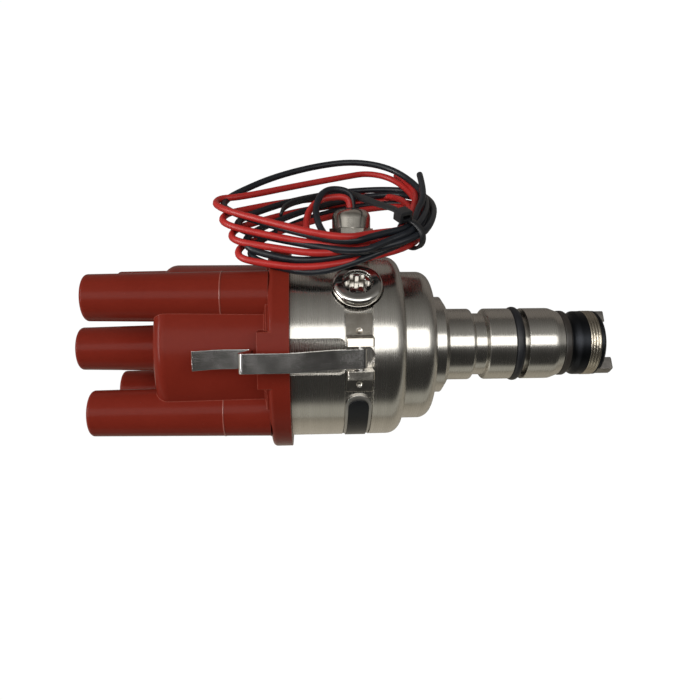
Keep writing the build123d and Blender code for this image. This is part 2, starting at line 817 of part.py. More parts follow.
gland_exit = spot_radius + gland_top + gland_seal_proud
with BuildPart() as gland_seal:
    with BuildSketch(gland_plane.offset(gland_top + gland_seal_proud)):
        Circle(gland_seal_radius)
    extrude(amount=-gland_dome_height - gland_nut_hex_height)
    seal_rim = gland_seal.edges().filter_by(GeomType.CIRCLE).sort_by(Axis.X)[-1]
    chamfer(seal_rim, length=gland_seal_chamfer)
save(gland_seal, "gland_seal")

# ================================================================ type plate in the band groove
def curved_strip(start, span, inner, outer, bottom, top, round_radius):
    """Strip bent round the housing from angle start through span, its first end rounded."""
    with BuildPart(mode=Mode.PRIVATE) as strip:
        with BuildSketch(Plane.XZ.rotated((0, 0, start))):
            with Locations(((inner + outer) / 2, (bottom + top) / 2)):
                Rectangle(outer - inner, top - bottom)
        revolve(axis=Axis.Z, revolution_arc=span)
        if round_radius:
            direction = Vector(cos(radians(start)), sin(radians(start)), 0)
            corners = [
                edge
                for edge in strip.edges().filter_by(GeomType.LINE)
                if abs(edge.tangent_at(0.5).dot(direction)) > 0.999
            ]
            fillet(corners, radius=round_radius)
    return strip.part


plate_low = groove_bottom + strip_side_gap
plate_high = groove_top - strip_side_gap
plate_round = (plate_high - plate_low) / 2 - 0.1
with BuildPart() as type_plate:
    add(
        curved_strip(
            plate_start_angle,
            -plate_span_angle,
            groove_radius,
            groove_radius + plate_thickness,
            plate_low,
            plate_high,
            plate_round,
        )
    )
save(type_plate, "type_plate")

label_angle_margin = degrees(label_margin * 2 / body_radius)
with BuildPart() as type_label:
    add(
        curved_strip(
            plate_start_angle - label_angle_margin,
            -plate_span_angle + 2 * label_angle_margin,
            groove_radius + plate_thickness,
            groove_radius + plate_thickness + label_thickness,
            plate_low + label_margin,
            plate_high - label_margin,
            plate_round - label_margin,
        )
    )
save(type_label, "type_label")

# ================================================================ clip ears, pins and clips
ear_inner = ear_inner_span / 2
ear_outer = ear_inner + ear_thickness
ear_tip = clip_pivot_radius + ear_reach
strip_outer = groove_radius + strip_thickness
ear_angle = degrees(asin(ear_outer / strip_outer))


def clip_ear(x_side, y_side, strip_end_angle):
    """Ear that holds one end of a clip pin, with the strip that carries it in the band groove."""
    with BuildPart(mode=Mode.PRIVATE) as ear:
        with BuildSketch(Plane.XY.offset(plate_low)):
            Circle(strip_outer)
            Circle(groove_radius, mode=Mode.SUBTRACT)
            far = strip_outer * 1.5
            first = radians(90 - ear_angle * 0.8)
            last = radians(90 - strip_end_angle)
            Polygon(
                (0, 0),
                (far * cos(first) * x_side, far * sin(first) * y_side),
                (far * cos(last) * x_side, far * sin(last) * y_side),
                align=None,
                mode=Mode.INTERSECT,
            )
        extrude(amount=plate_high - plate_low)
        ear_middle = (ear_inner + ear_outer) / 2 * x_side + clip_side_shift
        ear_root = groove_radius - ear_thickness / 4
        with BuildSketch(Plane.XY.offset(plate_low)):
            with Locations((ear_middle, (ear_root + ear_tip) / 2 * y_side)):
                Rectangle(ear_thickness, ear_tip - ear_root)
            Circle(groove_radius, mode=Mode.SUBTRACT)
        extrude(amount=plate_high - plate_low)
        tip_corners = [
            edge
            for edge in ear.edges().filter_by(Axis.X)
            if abs(abs(edge.center().Y) - ear_tip) < 0.01
        ]
        fillet(tip_corners, radius=ear_round)
        with BuildSketch(Plane.YZ):
            with Locations((clip_pivot_radius * y_side, clip_pivot_height)):
                Circle(clip_pin_radius)
        extrude(amount=ear_outer * 2 * x_side, mode=Mode.SUBTRACT)
        dent_angle = radians(90) - asin((ear_outer + strip_dent_gap) / strip_outer)
        dent_centre = strip_outer + strip_dent_radius - strip_dent_depth
        with Locations(
            (dent_centre * cos(dent_angle) * x_side, dent_centre * sin(dent_angle) * y_side, groove_middle)
        ):
            Sphere(strip_dent_radius, mode=Mode.SUBTRACT)
    return ear.part


ears = (
    ("front_ear_upper", 1, -1, long_strip_end),
    ("front_ear_lower", -1, -1, short_strip_end),
    ("rear_ear_upper", 1, 1, short_strip_end),
    ("rear_ear_lower", -1, 1, short_strip_end),
)
for name, x_side, y_side, strip_end_angle in ears:
    with BuildPart() as ear:
        add(clip_ear(x_side, y_side, strip_end_angle))
    save(ear, name)

for name, y_side in (("front_clip_pin", -1), ("rear_clip_pin", 1)):
    with BuildPart() as clip_pin:
        pin_reach = ear_outer - clip_pin_recess
        with BuildSketch(Plane.YZ.offset(clip_side_shift - pin_reach)):
            with Locations((clip_pivot_radius * y_side, clip_pivot_height)):
                Circle(clip_pin_radius)
        extrude(amount=2 * pin_reach)
    save(clip_pin, name)

# centre line of the folded strap, as distances from the shaft axis against height
eye_radius = clip_pin_radius + clip_pin_clearance + clip_thickness / 2
strap_start = clip_pivot_radius + eye_radius
hook_low = block_top + hook_gap + clip_thickness / 2
tongue_distance = clip_pivot_radius - hook_depth + clip_thickness / 2
fold_distance = clip_pivot_radius + clip_bow
fold_high = hook_low + clip_fold_rise
strap_rise = fold_high - clip_pivot_height


def spring_clip(y_side):
    """Bowed strap with a rolled eye, a fold that catches the cap block and a curled tongue."""
    with BuildPart(mode=Mode.PRIVATE) as clip:
        with BuildSketch(Plane.YZ.offset(clip_side_shift - clip_width / 2)):
            with BuildLine(mode=Mode.PRIVATE) as strap:
                FilletPolyline(
                    (strap_start * y_side, clip_pivot_height),
                    ((strap_start + clip_foot_lean) * y_side, clip_pivot_height + strap_rise * 0.2),
                    (fold_distance * y_side, clip_pivot_height + strap_rise * 0.55),
                    ((fold_distance + clip_crown_lean) * y_side, fold_high),
                    (tongue_distance * y_side, hook_low - hook_dip),
                    ((tongue_distance - clip_crown_lean) * y_side, hook_low + clip_tongue_length * 0.6),
                    ((tongue_distance + clip_tongue_curl) * y_side, hook_low + clip_tongue_length),
                    radius=(clip_foot_bend, clip_crown_bend, fold_radius, fold_radius, clip_tongue_bend),
                )
            trace(strap.line, line_width=clip_thickness)
            with Locations((clip_pivot_radius * y_side, clip_pivot_height)):
                Circle(eye_radius + clip_thickness / 2)
                Circle(eye_radius - clip_thickness / 2, mode=Mode.SUBTRACT)
        extrude(amount=clip_width)
    return clip.part


for name, y_side in (("front_clip", -1), ("rear_clip", 1)):
    with BuildPart() as clip:
        add(spring_clip(y_side))
    save(clip, name)

# ================================================================ distributor cap
with BuildPart() as distributor_cap:
    with BuildSketch(Plane.XZ):
        with BuildLine():
            Polyline(
                (0, cap_bottom),
                (flange_radius, cap_bottom),
                (flange_radius, flange_top),
                (skirt_radius, flange_top),
                (skirt_radius, flange_top + skirt_height),
                (dome_radius, flange_top + skirt_height + skirt_slope),
                (dome_radius, dome_top),
                (0, dome_top),
                close=True,
            )
        make_face()
    revolve(axis=Axis.Z)
    fillet(circles_at(distributor_cap.part, dome_radius, dome_top), radius=dome_fillet)
    fillet(circles_at(distributor_cap.part, flange_radius, flange_top), radius=flange_fillet)
    # four plug lead towers and the taller coil lead tower
    with Locations((0, 0, flange_top)):
        with PolarLocations(tower_circle_radius, 4, 45):
            Cone(
                tower_base_radius,
                tower_tip_radius,
                tower_top - flange_top,
                align=(Align.CENTER, Align.CENTER, Align.MIN),
            )
    with Locations((0, 0, dome_top - dome_fillet)):
        Cone(
            centre_tower_base_radius,
            centre_tower_tip_radius,
            centre_tower_top - dome_top + dome_fillet,
            align=(Align.CENTER, Align.CENTER, Align.MIN),
        )
    tower_rims = [
        edge
        for edge in distributor_cap.edges().filter_by(GeomType.CIRCLE)
        if abs(edge.arc_center.Z - tower_top) < 0.01 or abs(edge.arc_center.Z - centre_tower_top) < 0.01
    ]
    fillet(tower_rims, radius=tower_fillet)
    # blocks that the clips catch, front and rear
    with BuildSketch(Plane.XY.offset(flange_top - flange_fillet)):
        Circle(flange_radius)
        Rectangle(block_width, flange_radius * 3, mode=Mode.INTERSECT)
    extrude(amount=block_height + flange_fillet)
    # locating spigot, inner bore and brush boss
    with BuildSketch(Plane.XY.offset(cap_bottom)):
        Circle(rim_radius - spigot_clearance)
    extrude(amount=-spigot_depth)
    with BuildSketch(Plane.XY.offset(cap_bottom - spigot_depth)):
        Circle(cap_bore_radius)
    extrude(amount=spigot_depth + cap_bore_height, mode=Mode.SUBTRACT)
    with BuildSketch(Plane.XY.offset(ceiling)):
        Circle(brush_boss_radius)
    extrude(amount=-brush_boss_height)
    with BuildSketch(Plane.XY.offset(brush_boss_bottom)):
        Circle(brush_radius + brush_clearance)
    extrude(amount=centre_socket_floor - brush_boss_bottom, mode=Mode.SUBTRACT)
    with BuildSketch(Plane.XY.offset(centre_socket_floor)):
        Circle(terminal_radius)
    extrude(amount=-centre_terminal_height, mode=Mode.SUBTRACT)
    with BuildSketch(Plane.XY.offset(centre_socket_floor)):
        Circle(socket_radius)
    extrude(amount=centre_socket_depth, mode=Mode.SUBTRACT)
    # lead sockets and the bores of the side terminals
    with BuildSketch(Plane.XY.offset(side_socket_floor)):
        with PolarLocations(tower_circle_radius, 4, 45):
            Circle(socket_radius)
    extrude(amount=side_socket_depth, mode=Mode.SUBTRACT)
    with BuildSketch(Plane.XY.offset(ceiling - side_terminal_reach)):
        with PolarLocations(tower_circle_radius, 4, 45):
            Circle(terminal_radius)
    extrude(amount=side_socket_floor - ceiling + side_terminal_reach, mode=Mode.SUBTRACT)
save(distributor_cap, "distributor_cap")

# ================================================================ cap terminals, brush and spring
for number, angle in enumerate((45, 135, 225, 315), start=1):
    with BuildPart() as terminal:
        with BuildSketch(Plane.XY.offset(ceiling - side_terminal_reach)):
            with PolarLocations(tower_circle_radius, 1, angle):
                Circle(terminal_radius)
        extrude(amount=side_socket_floor - ceiling + side_terminal_reach)
        with Locations((0, 0, side_socket_floor)):
            with PolarLocations(tower_circle_radius, 1, angle):
                Hole(contact_radius, depth=contact_depth)
    save(terminal, f"side_terminal_{number}")

with BuildPart() as centre_terminal:
    with BuildSketch(Plane.XY.offset(centre_socket_floor)):
        Circle(terminal_radius)
    extrude(amount=-centre_terminal_height)
    with Locations((0, 0, centre_socket_floor)):
        Hole(contact_radius, depth=contact_depth)
save(centre_terminal, "centre_terminal")

with BuildPart() as carbon_brush:
    with BuildSketch(Plane.XY.offset(brush_bottom)):
        Circle(brush_radius)
    extrude(amount=brush_length)
    fillet(carbon_brush.edges().group_by(Axis.Z)[0], radius=brush_radius / 3)
save(carbon_brush, "carbon_brush")

brush_spring_top = centre_socket_floor - centre_terminal_height
with BuildPart() as brush_spring:
    with BuildSketch(Plane.XY.offset(brush_top)):
        Circle(brush_radius - brush_spring_clearance)
        Circle(brush_radius - brush_spring_clearance - brush_spring_wire, mode=Mode.SUBTRACT)
    extrude(amount=brush_spring_top - brush_top)
save(brush_spring, "brush_spring")

# ================================================================ rotor
blade_reach = tower_circle_radius - terminal_radius - rotor_tip_gap
with BuildPart() as rotor_arm:
    with BuildSketch(Plane.XY.offset(rotor_bottom)):
        Circle(rotor_hub_radius)
    extrude(amount=rotor_hub_height)
    with BuildSketch(Plane.XY.offset(blade_bottom - rotor_arm_thickness).rotated((0, 0, rotor_angle))):
        with BuildLine():
            tail = -rotor_hub_radius - rotor_tail
            arm_end_half = rotor_arm_end_radius + rotor_arm_flare
            Polyline(
                (tail, -rotor_hub_radius * 0.6),
                (0, -rotor_hub_radius),
                (rotor_arm_reach, -arm_end_half),
                (rotor_arm_reach + rotor_arm_point, 0),
                (rotor_arm_reach, arm_end_half),
                (0, rotor_hub_radius),
                (tail, rotor_hub_radius * 0.6),
                close=True,
            )
        make_face()
    extrude(amount=rotor_arm_thickness)
    with BuildSketch(Plane.XY.offset(rotor_bottom)):
        Circle(neck_radius)
    extrude(amount=shaft_top - rotor_bottom, mode=Mode.SUBTRACT)
    with BuildSketch(Plane.XY.offset(shaft_top).rotated((0, 0, rotor_angle))):
        key_depth = key_slot_depth - key_clearance
        with Locations((neck_radius - key_depth / 2, 0)):
            Rectangle(key_depth, key_slot_width - 2 * key_clearance)
    extrude(amount=-key_length + key_clearance)
save(rotor_arm, "rotor_arm")

with BuildPart() as rotor_blade:
    with BuildSketch(Plane.XY.offset(blade_bottom).rotated((0, 0, rotor_angle))):
        blade_tail = brush_radius + blade_overhang
        with Locations(((blade_reach - blade_tail) / 2, 0)):
            Rectangle(blade_reach + blade_tail, blade_width)
    extrude(amount=blade_thickness)
    blade_corners = rotor_blade.edges().filter_by(Axis.Z)
    fillet(blade_corners, radius=blade_round)
save(rotor_blade, "rotor_blade")

# ================================================================ leads and cable tie
def corner_radii(points):
    """Largest arc that each corner of a cord's route allows."""
    radii = []
    for before, corner, after in zip(points, points[1:], points[2:]):
        incoming = Vector(corner) - Vector(before)
        outgoing = Vector(after) - Vector(corner)
        half_turn = radians(incoming.get_angle(outgoing)) / 2
        radii.append(0.45 * min(incoming.length, outgoing.length) / tan(half_turn))
    return radii


def lead_route(side, points):
    """Route of a lead from the mouth of the gland on, with its points measured from there."""
    tilt = radians(lead_pair_tilt)
    start_y = -side * lead_spacing / 2 * cos(tilt)
    start_z = gland_height + side * lead_spacing / 2 * sin(tilt)
    route = [(gland_exit, start_y, start_z)]
    for out, across, up in points:
        route.append((gland_exit + out, start_y + across, start_z + up))
    return route


red_lead_route = lead_route(1, red_lead_points)
black_lead_route = lead_route(-1, black_lead_points)
for name, route in (("red_lead", red_lead_route), ("black_lead", black_lead_route)):
    radii = corner_radii(route)
    print(name, "radii", [round(radius, 1) for radius in radii])
    with BuildPart() as lead:
        with BuildLine():
            path = FilletPolyline(*route, radius=radii)
        with BuildSketch(Plane(origin=route[0], z_dir=path % 0)):
            Circle(lead_diameter / 2)
        sweep()
    expected = pi * (lead_diameter / 2) ** 2 * path.length
    print(name, "length", round(path.length, 1), "volume ratio", round(lead.part.volume / expected, 4))
    save(lead, name)

coil_origin = Vector(coil_distance, 0, 0)
coil_across = Vector(0.460, 0.888, 0)
coil_off = Vector(0.888, -0.460, 0)
coil_plane = Plane(origin=coil_origin, x_dir=(0, 0, 1), z_dir=coil_off)
tie_out = Vector(0, 0, -cos(radians(tie_lean))) - coil_across * sin(radians(tie_lean))
tie_plane = Plane(
    origin=coil_origin + Vector(0, 0, tie_place[0]) + coil_across * tie_place[1],
    x_dir=tie_out,
    z_dir=tie_out.cross(coil_off),
)


def rounded_outline(corners):
    """Closed outline through these corners, each as round as its sides allow."""
    flat = [(along, -across) for along, across in corners]
    radii = corner_radii([(x, y, 0) for x, y in [flat[-1]] + flat + [flat[0]]])
    return FilletPolyline(*flat, radius=radii, close=True)


with BuildPart() as lead_coil:
    with BuildSketch(coil_plane):
        with BuildLine():
            rounded_outline(coil_outline)
        make_face()
        with BuildLine():
            rounded_outline(coil_opening)
        make_face(mode=Mode.SUBTRACT)
    extrude(amount=coil_thickness / 2, both=True)
    Cylinder(flange_radius + coil_keep_out_gap, coil_distance * 4, mode=Mode.SUBTRACT)
    # the turns are gathered where the tie holds them
    with BuildSketch(tie_plane):
        Rectangle(coil_thickness * 2, coil_thickness * 2)
        RectangleRounded(bundle_width, bundle_thickness, bundle_corner, mode=Mode.SUBTRACT)
    extrude(amount=tie_head_depth / 2 + tie_clearance, both=True, mode=Mode.SUBTRACT)
save(lead_coil, "lead_coil")

with BuildPart() as cable_tie:
    tie_inner_width = bundle_width + 2 * tie_clearance
    tie_inner_thickness = bundle_thickness + 2 * tie_clearance
    tie_corner = bundle_corner + tie_clearance
    with BuildSketch(tie_plane):
        RectangleRounded(
            tie_inner_width + 2 * tie_strap_thickness,
            tie_inner_thickness + 2 * tie_strap_thickness,
            tie_corner + tie_strap_thickness,
        )
        RectangleRounded(tie_inner_width, tie_inner_thickness, tie_corner, mode=Mode.SUBTRACT)
    extrude(amount=tie_strap_width / 2, both=True)
    with BuildSketch(tie_plane):
        with Locations((-(tie_inner_width + tie_head_length) / 2, 0)):
            Rectangle(tie_head_length, tie_head_width)
    extrude(amount=tie_head_depth / 2, both=True)
save(cable_tie, "cable_tie")
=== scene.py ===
# %% [markdown]
# # An ignition distributor, dressed for rendering
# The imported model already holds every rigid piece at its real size: a turned housing, a moulded
# cap with five towers, two spring clips, the drive end and what is inside. Blender adds what a
# solid model can't hold: two wires wound into a coil, a cable tie, and the finish of each surface.
# Everything is in metres. Z is the shaft's axis and points to the cap, and the cable gland
# looks towards +X.

# %% Load the frame
from math import cos, pi, radians, sin, tau

import bmesh
import bpy
from mathutils import Matrix, Vector


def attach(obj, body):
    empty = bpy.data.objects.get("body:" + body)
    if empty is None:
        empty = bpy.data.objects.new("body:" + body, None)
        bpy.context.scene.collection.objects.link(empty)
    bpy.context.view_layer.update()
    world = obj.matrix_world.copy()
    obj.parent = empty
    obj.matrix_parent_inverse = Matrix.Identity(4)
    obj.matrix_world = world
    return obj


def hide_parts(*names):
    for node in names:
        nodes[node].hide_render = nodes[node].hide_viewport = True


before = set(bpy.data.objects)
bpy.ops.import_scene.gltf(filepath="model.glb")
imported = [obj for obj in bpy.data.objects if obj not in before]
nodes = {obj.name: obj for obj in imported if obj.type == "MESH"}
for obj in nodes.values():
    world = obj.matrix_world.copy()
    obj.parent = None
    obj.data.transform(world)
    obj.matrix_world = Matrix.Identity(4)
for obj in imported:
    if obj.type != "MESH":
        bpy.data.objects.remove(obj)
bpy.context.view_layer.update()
mm = 0.001
print("nodes in the frame:", len(nodes))


def placed(name, data):
    """New object with the given mesh, curve, light or camera, linked to the scene."""
    piece = bpy.data.objects.new(name, data)
    bpy.context.scene.collection.objects.link(piece)
    return piece

# %% [markdown]
# ## The camera
# The distributor lies on its side on a white table and the camera looks down on it, so the
# shaft runs across the picture with the cap on the left. A camera is set here from three plain
# facts: where it stands, which way it looks, and which way its top edge points. The rest follows
# from two cross products, which is easier to read and to change than three angles.

# %% Camera
camera_place = Vector((32.76, -244.63, 50.72)) * mm
camera_looks = Vector((-0.13954, 0.98823, -0.06265)).normalized()
camera_top = Vector((0.99021, 0.13900, -0.01288))
lens_length = 33.53  # mm, on a 36 mm wide sensor

camera_side = camera_looks.cross(camera_top).normalized()
camera_top = camera_side.cross(camera_looks)
camera_data = bpy.data.cameras.new("camera")
camera_data.lens = lens_length
camera_data.sensor_width = 36
camera_data.clip_start = 0.01
camera_data.clip_end = 20
camera = placed("camera", camera_data)
camera.matrix_world = (
    Matrix.Translation(camera_place)
    @ Matrix((camera_side, camera_top, -camera_looks)).transposed().to_4x4()
)
bpy.context.scene.camera = camera
print("camera stands", round(camera_place.length / mm), "mm from the shoulder")

# %% [markdown]
# ## The coil's own coordinates
# The two leads leave the gland together and are wound into a loose coil that leans over the
# housing. A coil is easiest to describe in its own plane, so a point of it has three numbers:
# how far along the shaft it is, how far across the coil, and how far off the coil's plane. One
# function turns them into a point of the frame.

# %% Coil plane
coil_origin = Vector((50, 0, 0)) * mm
coil_across = Vector((0.460, 0.888, 0))
coil_off = Vector((0.888, -0.460, 0))


def coil_point(along, across, off):
    """Point of the frame from its place in the coil, given in millimetres."""
    return coil_origin + (Vector((0, 0, along)) + across * coil_across + off * coil_off) * mm


print("coil plane stands", round(coil_origin.x / mm), "mm from the shaft's axis")

# %% [markdown]
# ## One turn from four far points
# A turn of wire is known by its four far points: the right end, the far side, the left end and
# the near side. Between two of them the wire follows a quarter of an oval. How lean that quarter
# is decides whether the wire swings out or runs nearly straight, and loose turns differ in
# exactly that. The tie holds every turn in its own place in a tight bundle, so each pass through
# it has a slot, counted from the middle of the bundle.

# %% Quarter turns
bundle_middle = (15.0, -20.0, 0.0)
right_end = (7.0, 0.0, 0.0)
left_end_half = 4.0  # half the straight stretch across a left end
slot_looseness = 1.15  # the turns don't lie quite tight in the bundle
outwards_along, outwards_across = 0.63, 0.78  # the way out of the coil at the bundle
end_spread = (1.3, 0.3, 1.2)  # how far the slots spread along, across and off at the right end
right_lean = 0.9


def quarter(start, end, lean, count, from_end):
    """Points on the quarter oval between two far points, without the two themselves."""
    points = []
    for step in range(1, count + 1):
        angle = pi / 2 * step / (count + 1)
        near, away = cos(angle) ** lean, sin(angle) ** lean
        if from_end:
            along = end[0] + (start[0] - end[0]) * near
            across = start[1] + (end[1] - start[1]) * away
        else:
            along = start[0] + (end[0] - start[0]) * away
            across = end[1] + (start[1] - end[1]) * near
        off = start[2] + (end[2] - start[2]) * sin(angle) ** 2
        points.append((along, across, off))
    return points


def in_bundle(slot):
    """Place of a wire where the tie gathers the turns; a slot is (outwards, off the plane)."""
    outwards, off = slot
    outwards, off = outwards * slot_looseness, off * slot_looseness
    along, across, middle_off = bundle_middle
    return (
        along - outwards_along * outwards, across - outwards_across * outwards, middle_off + off
    )


def at_right_end(slot):
    """Place of the same wire a little further on, where the bundle turns back."""
    outwards, off = slot
    along, across, end_off = right_end
    spread_along, spread_across, spread_off = end_spread
    return (
        along - spread_along * outwards, across - spread_across * outwards,
        end_off + spread_off * off,
    )


# %% [markdown]
# ## The two leads
# Each lead starts in the gland, humps over and drops to the near side of the coil, goes round
# four times and ends where the tie holds it. The first points repeat the stretch that the CAD
# model has as a tube. The turns come out of a loop that reads four far points for each turn,
# twelve points to a turn. One NURBS spline of order 3 through them gives the soft, slightly
# uneven line that real insulated wire has.

# %% Routes of the leads
def through(before, aim, after):
    """Control point that brings an order 3 spline through the aim instead of inside it."""
    return tuple((8 * a - b - c) / 6 for b, a, c in zip(before, aim, after))


def blunt(left_end):
    """Two points for a left end, so that the wire turns back as wide as it can bend."""
    along, across, off = left_end
    return [(along, across + left_end_half, off), (along, across - left_end_half, off)]


def lead_route(first_run, slots, far, left, near, leans, tail):
    """Control points of one lead, from the gland to its free end, in the frame."""
    points = [Vector(point) * mm for point in first_run]
    turn = [in_bundle(slots[0])]
    tied_places = []
    for number, (far_side, left_end, near_side, lean) in enumerate(zip(far, left, near, leans)):
        right = at_right_end(slots[number])
        tied = in_bundle(slots[number + 1])
        far_lean, near_lean, belly = lean
        turn += [right] + quarter(right, far_side, right_lean, 2, True)
        turn += [far_side] + quarter(far_side, left_end, far_lean, 3, False)
        turn += blunt(left_end) + quarter(left_end, near_side, near_lean, 1, True)
        between = [(a + b) / 2 for a, b in zip(near_side, tied)]
        turn += [near_side, (between[0], between[1] - belly, between[2]), tied]
        tied_places.append(len(turn) - 1)
    turn += tail
    for place in tied_places:
        turn[place] = through(turn[place - 1], turn[place], turn[place + 1])
    return points + [coil_point(*point) for point in turn]


red_route = lead_route(
    first_run=[
        (51.0, -1.1, 35.3), (53.4, -1.1, 35.3), (54.9, -1.2, 37.2), (54.9, -0.8, 41.4),
        (54.0, -1.0, 46.0), (50.6, -4.0, 49.8), (46.0, -8.8, 51.2), (41.0, -14.5, 51.0),
        (34.5, -22.0, 46.0),
    ],
    slots=[(-1.05, -2.4), (1.05, -2.4), (-3.1, -1.2), (-1.05, 0.0), (-3.1, 1.2)],
    far=[(18.0, 24.0, -8.6), (19.0, 28.0, -7.8), (24.0, 30.0, -6.4), (26.0, 33.0, 2.2)],
    left=[(74.3, -23.2, -4.9), (76.7, -18.0, -1.2), (80.2, -11.6, 1.9), (82.9, -4.6, 5.0)],
    near=[(51.0, -33.2, -6.1), (45.0, -33.2, -1.2), (42.4, -30.3, 0.4), (39.9, -33.2, 4.6)],
    leans=[(1.5, 1.1, 3.0), (1.4, 1.5, 0.0), (1.4, 1.5, 0.0), (1.9, 1.7, 0.0)],
    tail=[(11.5, -0.5, 2.0), (9.0, 10.5, 2.0), (10.0, 21.0, 2.0), (14.5, 31.0, 2.0)],
)
black_route = lead_route(
    first_run=[
        (51.0, 1.1, 33.9), (53.4, 1.1, 33.9), (56.8, 1.3, 35.0), (58.0, 1.0, 39.2),
        (57.4, -1.0, 43.8), (54.2, -5.2, 46.8), (48.5, -9.5, 48.0), (42.0, -15.8, 46.0),
        (36.0, -23.0, 41.0),
    ],
    slots=[(3.1, -1.2), (1.05, 0.0), (3.1, 1.2), (1.05, 2.4), (-1.05, 2.4)],
    far=[(21.0, 26.0, -8.2), (19.0, 28.0, -5.0), (23.0, 31.0, -4.0), (31.0, 33.0, 7.0)],
    left=[(70.1, -23.0, -5.1), (71.8, -20.8, -2.1), (75.1, -13.2, 0.4), (80.4, -4.0, 4.0)],
    near=[(48.5, -33.9, -8.2), (51.5, -31.0, -4.9), (33.9, -34.3, -0.2), (38.5, -33.0, 2.8)],
    leans=[(1.35, 1.3, 2.5), (1.4, 1.1, 3.0), (1.35, 1.6, 0.0), (1.25, 1.6, 0.0)],
    tail=[(11.5, -8.5, 4.0), (7.5, 0.5, 6.0), (7.5, 16.0, 8.0)],
)
print("control points:", len(red_route), "red and", len(black_route), "black")

# %% [markdown]
# ## Wires along the routes
# A curve that carries a round section stays smooth and can be re-routed by moving its points.
# The same spline without its section gives the length.

# %% Wires along the routes
wire_diameter = 2.4 * mm


def wire(name, route):
    """Round wire along one NURBS spline."""
    data = bpy.data.curves.new(name, "CURVE")
    data.dimensions = "3D"
    spline = data.splines.new("NURBS")
    spline.points.add(len(route) - 1)
    for control, place in zip(spline.points, route):
        control.co = (*place, 1)
        control.radius = wire_diameter / 2
    spline.order_u = 3
    spline.use_endpoint_u = True
    data.resolution_u = 6
    data.bevel_depth = 1  # times the radius of each control point
    data.bevel_resolution = 4
    data.use_fill_caps = True
    return placed(name, data)


def measured(piece):
    """Length of a wire's centreline in metres."""
    bare = piece.data.copy()
    bare.bevel_depth = 0
    probe = bpy.data.objects.new("probe", bare)
    mesh = bpy.data.meshes.new_from_object(probe)
    places = [vertex.co.copy() for vertex in mesh.vertices]
    bpy.data.objects.remove(probe)
    bpy.data.meshes.remove(mesh)
    bpy.data.curves.remove(bare)
    return sum((b - a).length for a, b in zip(places, places[1:]))


red_wire = wire("red_wire", red_route)
black_wire = wire("black_wire", black_route)
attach(red_wire, "housing")
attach(black_wire, "housing")
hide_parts("red_lead", "lead_coil")
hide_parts("black_lead")
for piece in (red_wire, black_wire):
    print(piece.name, "is", round(measured(piece) / mm), "mm long")

# %% [markdown]
# ## The cable tie
# A nylon tie is one moulding: a flat strap, a square head with a slot, and the strap's tail
# sticking out of the head. The strap is swept here as a flat section along a closed path round
# the bundle. A helper that carries a section along a path serves the strap and the tail alike.

# %% Strap helper
def swept(name, path, widths, thickness, along_width, closed):
    """Flat strap with eased edges along a path; along_width points across each place."""
    mesh = bmesh.new()
    rings = []
    count = len(path)
    for index, place in enumerate(path):
        if closed:
            ahead = path[(index + 1) % count] - path[index - 1]
        else:
            ahead = path[min(index + 1, count - 1)] - path[max(index - 1, 0)]
        across = along_width[index].normalized()
        normal = ahead.normalized().cross(across).normalized()
        half_width, half_thick = widths[index] / 2, thickness / 2
        ease = min(half_thick * 0.6, half_width * 0.3)
        outline = [
            (-half_width + ease, -half_thick), (half_width - ease, -half_thick),
            (half_width, -half_thick + ease), (half_width, half_thick - ease),
            (half_width - ease, half_thick), (-half_width + ease, half_thick),
            (-half_width, half_thick - ease), (-half_width, -half_thick + ease),
        ]
        rings.append([mesh.verts.new(place + across * x + normal * y) for x, y in outline])
    for index in range(count if closed else count - 1):
        ring, following = rings[index], rings[(index + 1) % count]
        for corner in range(8):
            after = (corner + 1) % 8
            mesh.faces.new((ring[corner], ring[after], following[after], following[corner]))
    if not closed:
        mesh.faces.new(rings[0][::-1])
        mesh.faces.new(rings[-1])
    bmesh.ops.recalc_face_normals(mesh, faces=mesh.faces)
    data = bpy.data.meshes.new(name)
    mesh.to_mesh(data)
    mesh.free()
    for face in data.polygons:
        face.use_smooth = True
    return placed(name, data)


# %% Tie round the bundle
strap_width = 2.6 * mm
strap_thickness = 1.1 * mm
bundle_outwards = 5.5 * mm
bundle_off = 4.8 * mm
tie_centre = coil_point(*bundle_middle)
outwards_way = (-outwards_across * coil_across + Vector((0, 0, -outwards_along))).normalized()
bundle_way = coil_off.cross(outwards_way).normalized()
ring_points = 40
ring = [
    tie_centre
    + outwards_way * bundle_outwards * cos(tau * step / ring_points)
    + coil_off * bundle_off * sin(tau * step / ring_points)
    for step in range(ring_points)
]
tie_strap = swept(
    "tie_strap", ring, [strap_width] * ring_points, strap_thickness,
    [bundle_way] * ring_points, True,
)
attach(tie_strap, "housing")
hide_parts("cable_tie")
print("tie strap is", round(strap_width / mm, 1), "mm wide")

# %% [markdown]
# ## Head and tail of the tie
# The strap threads through a slot in the tie's head and its loose end sticks out far beyond,
# because nobody trimmed it. The head is a small moulded frame round that slot. The tail starts in
# the head, runs back over the gland behind the black lead's hump and ends in a curl. A smooth
# line through a few places gives its path, and the strap helper gives its section.

# %% Head of the tie
head_width = 4.9 * mm  # along the bundle
head_height = 4.0 * mm  # off the bundle
head_depth = 4.6 * mm  # the way the strap goes through
head_slot_width = 3.0 * mm
head_slot_height = 1.5 * mm
head_easing = 0.45 * mm


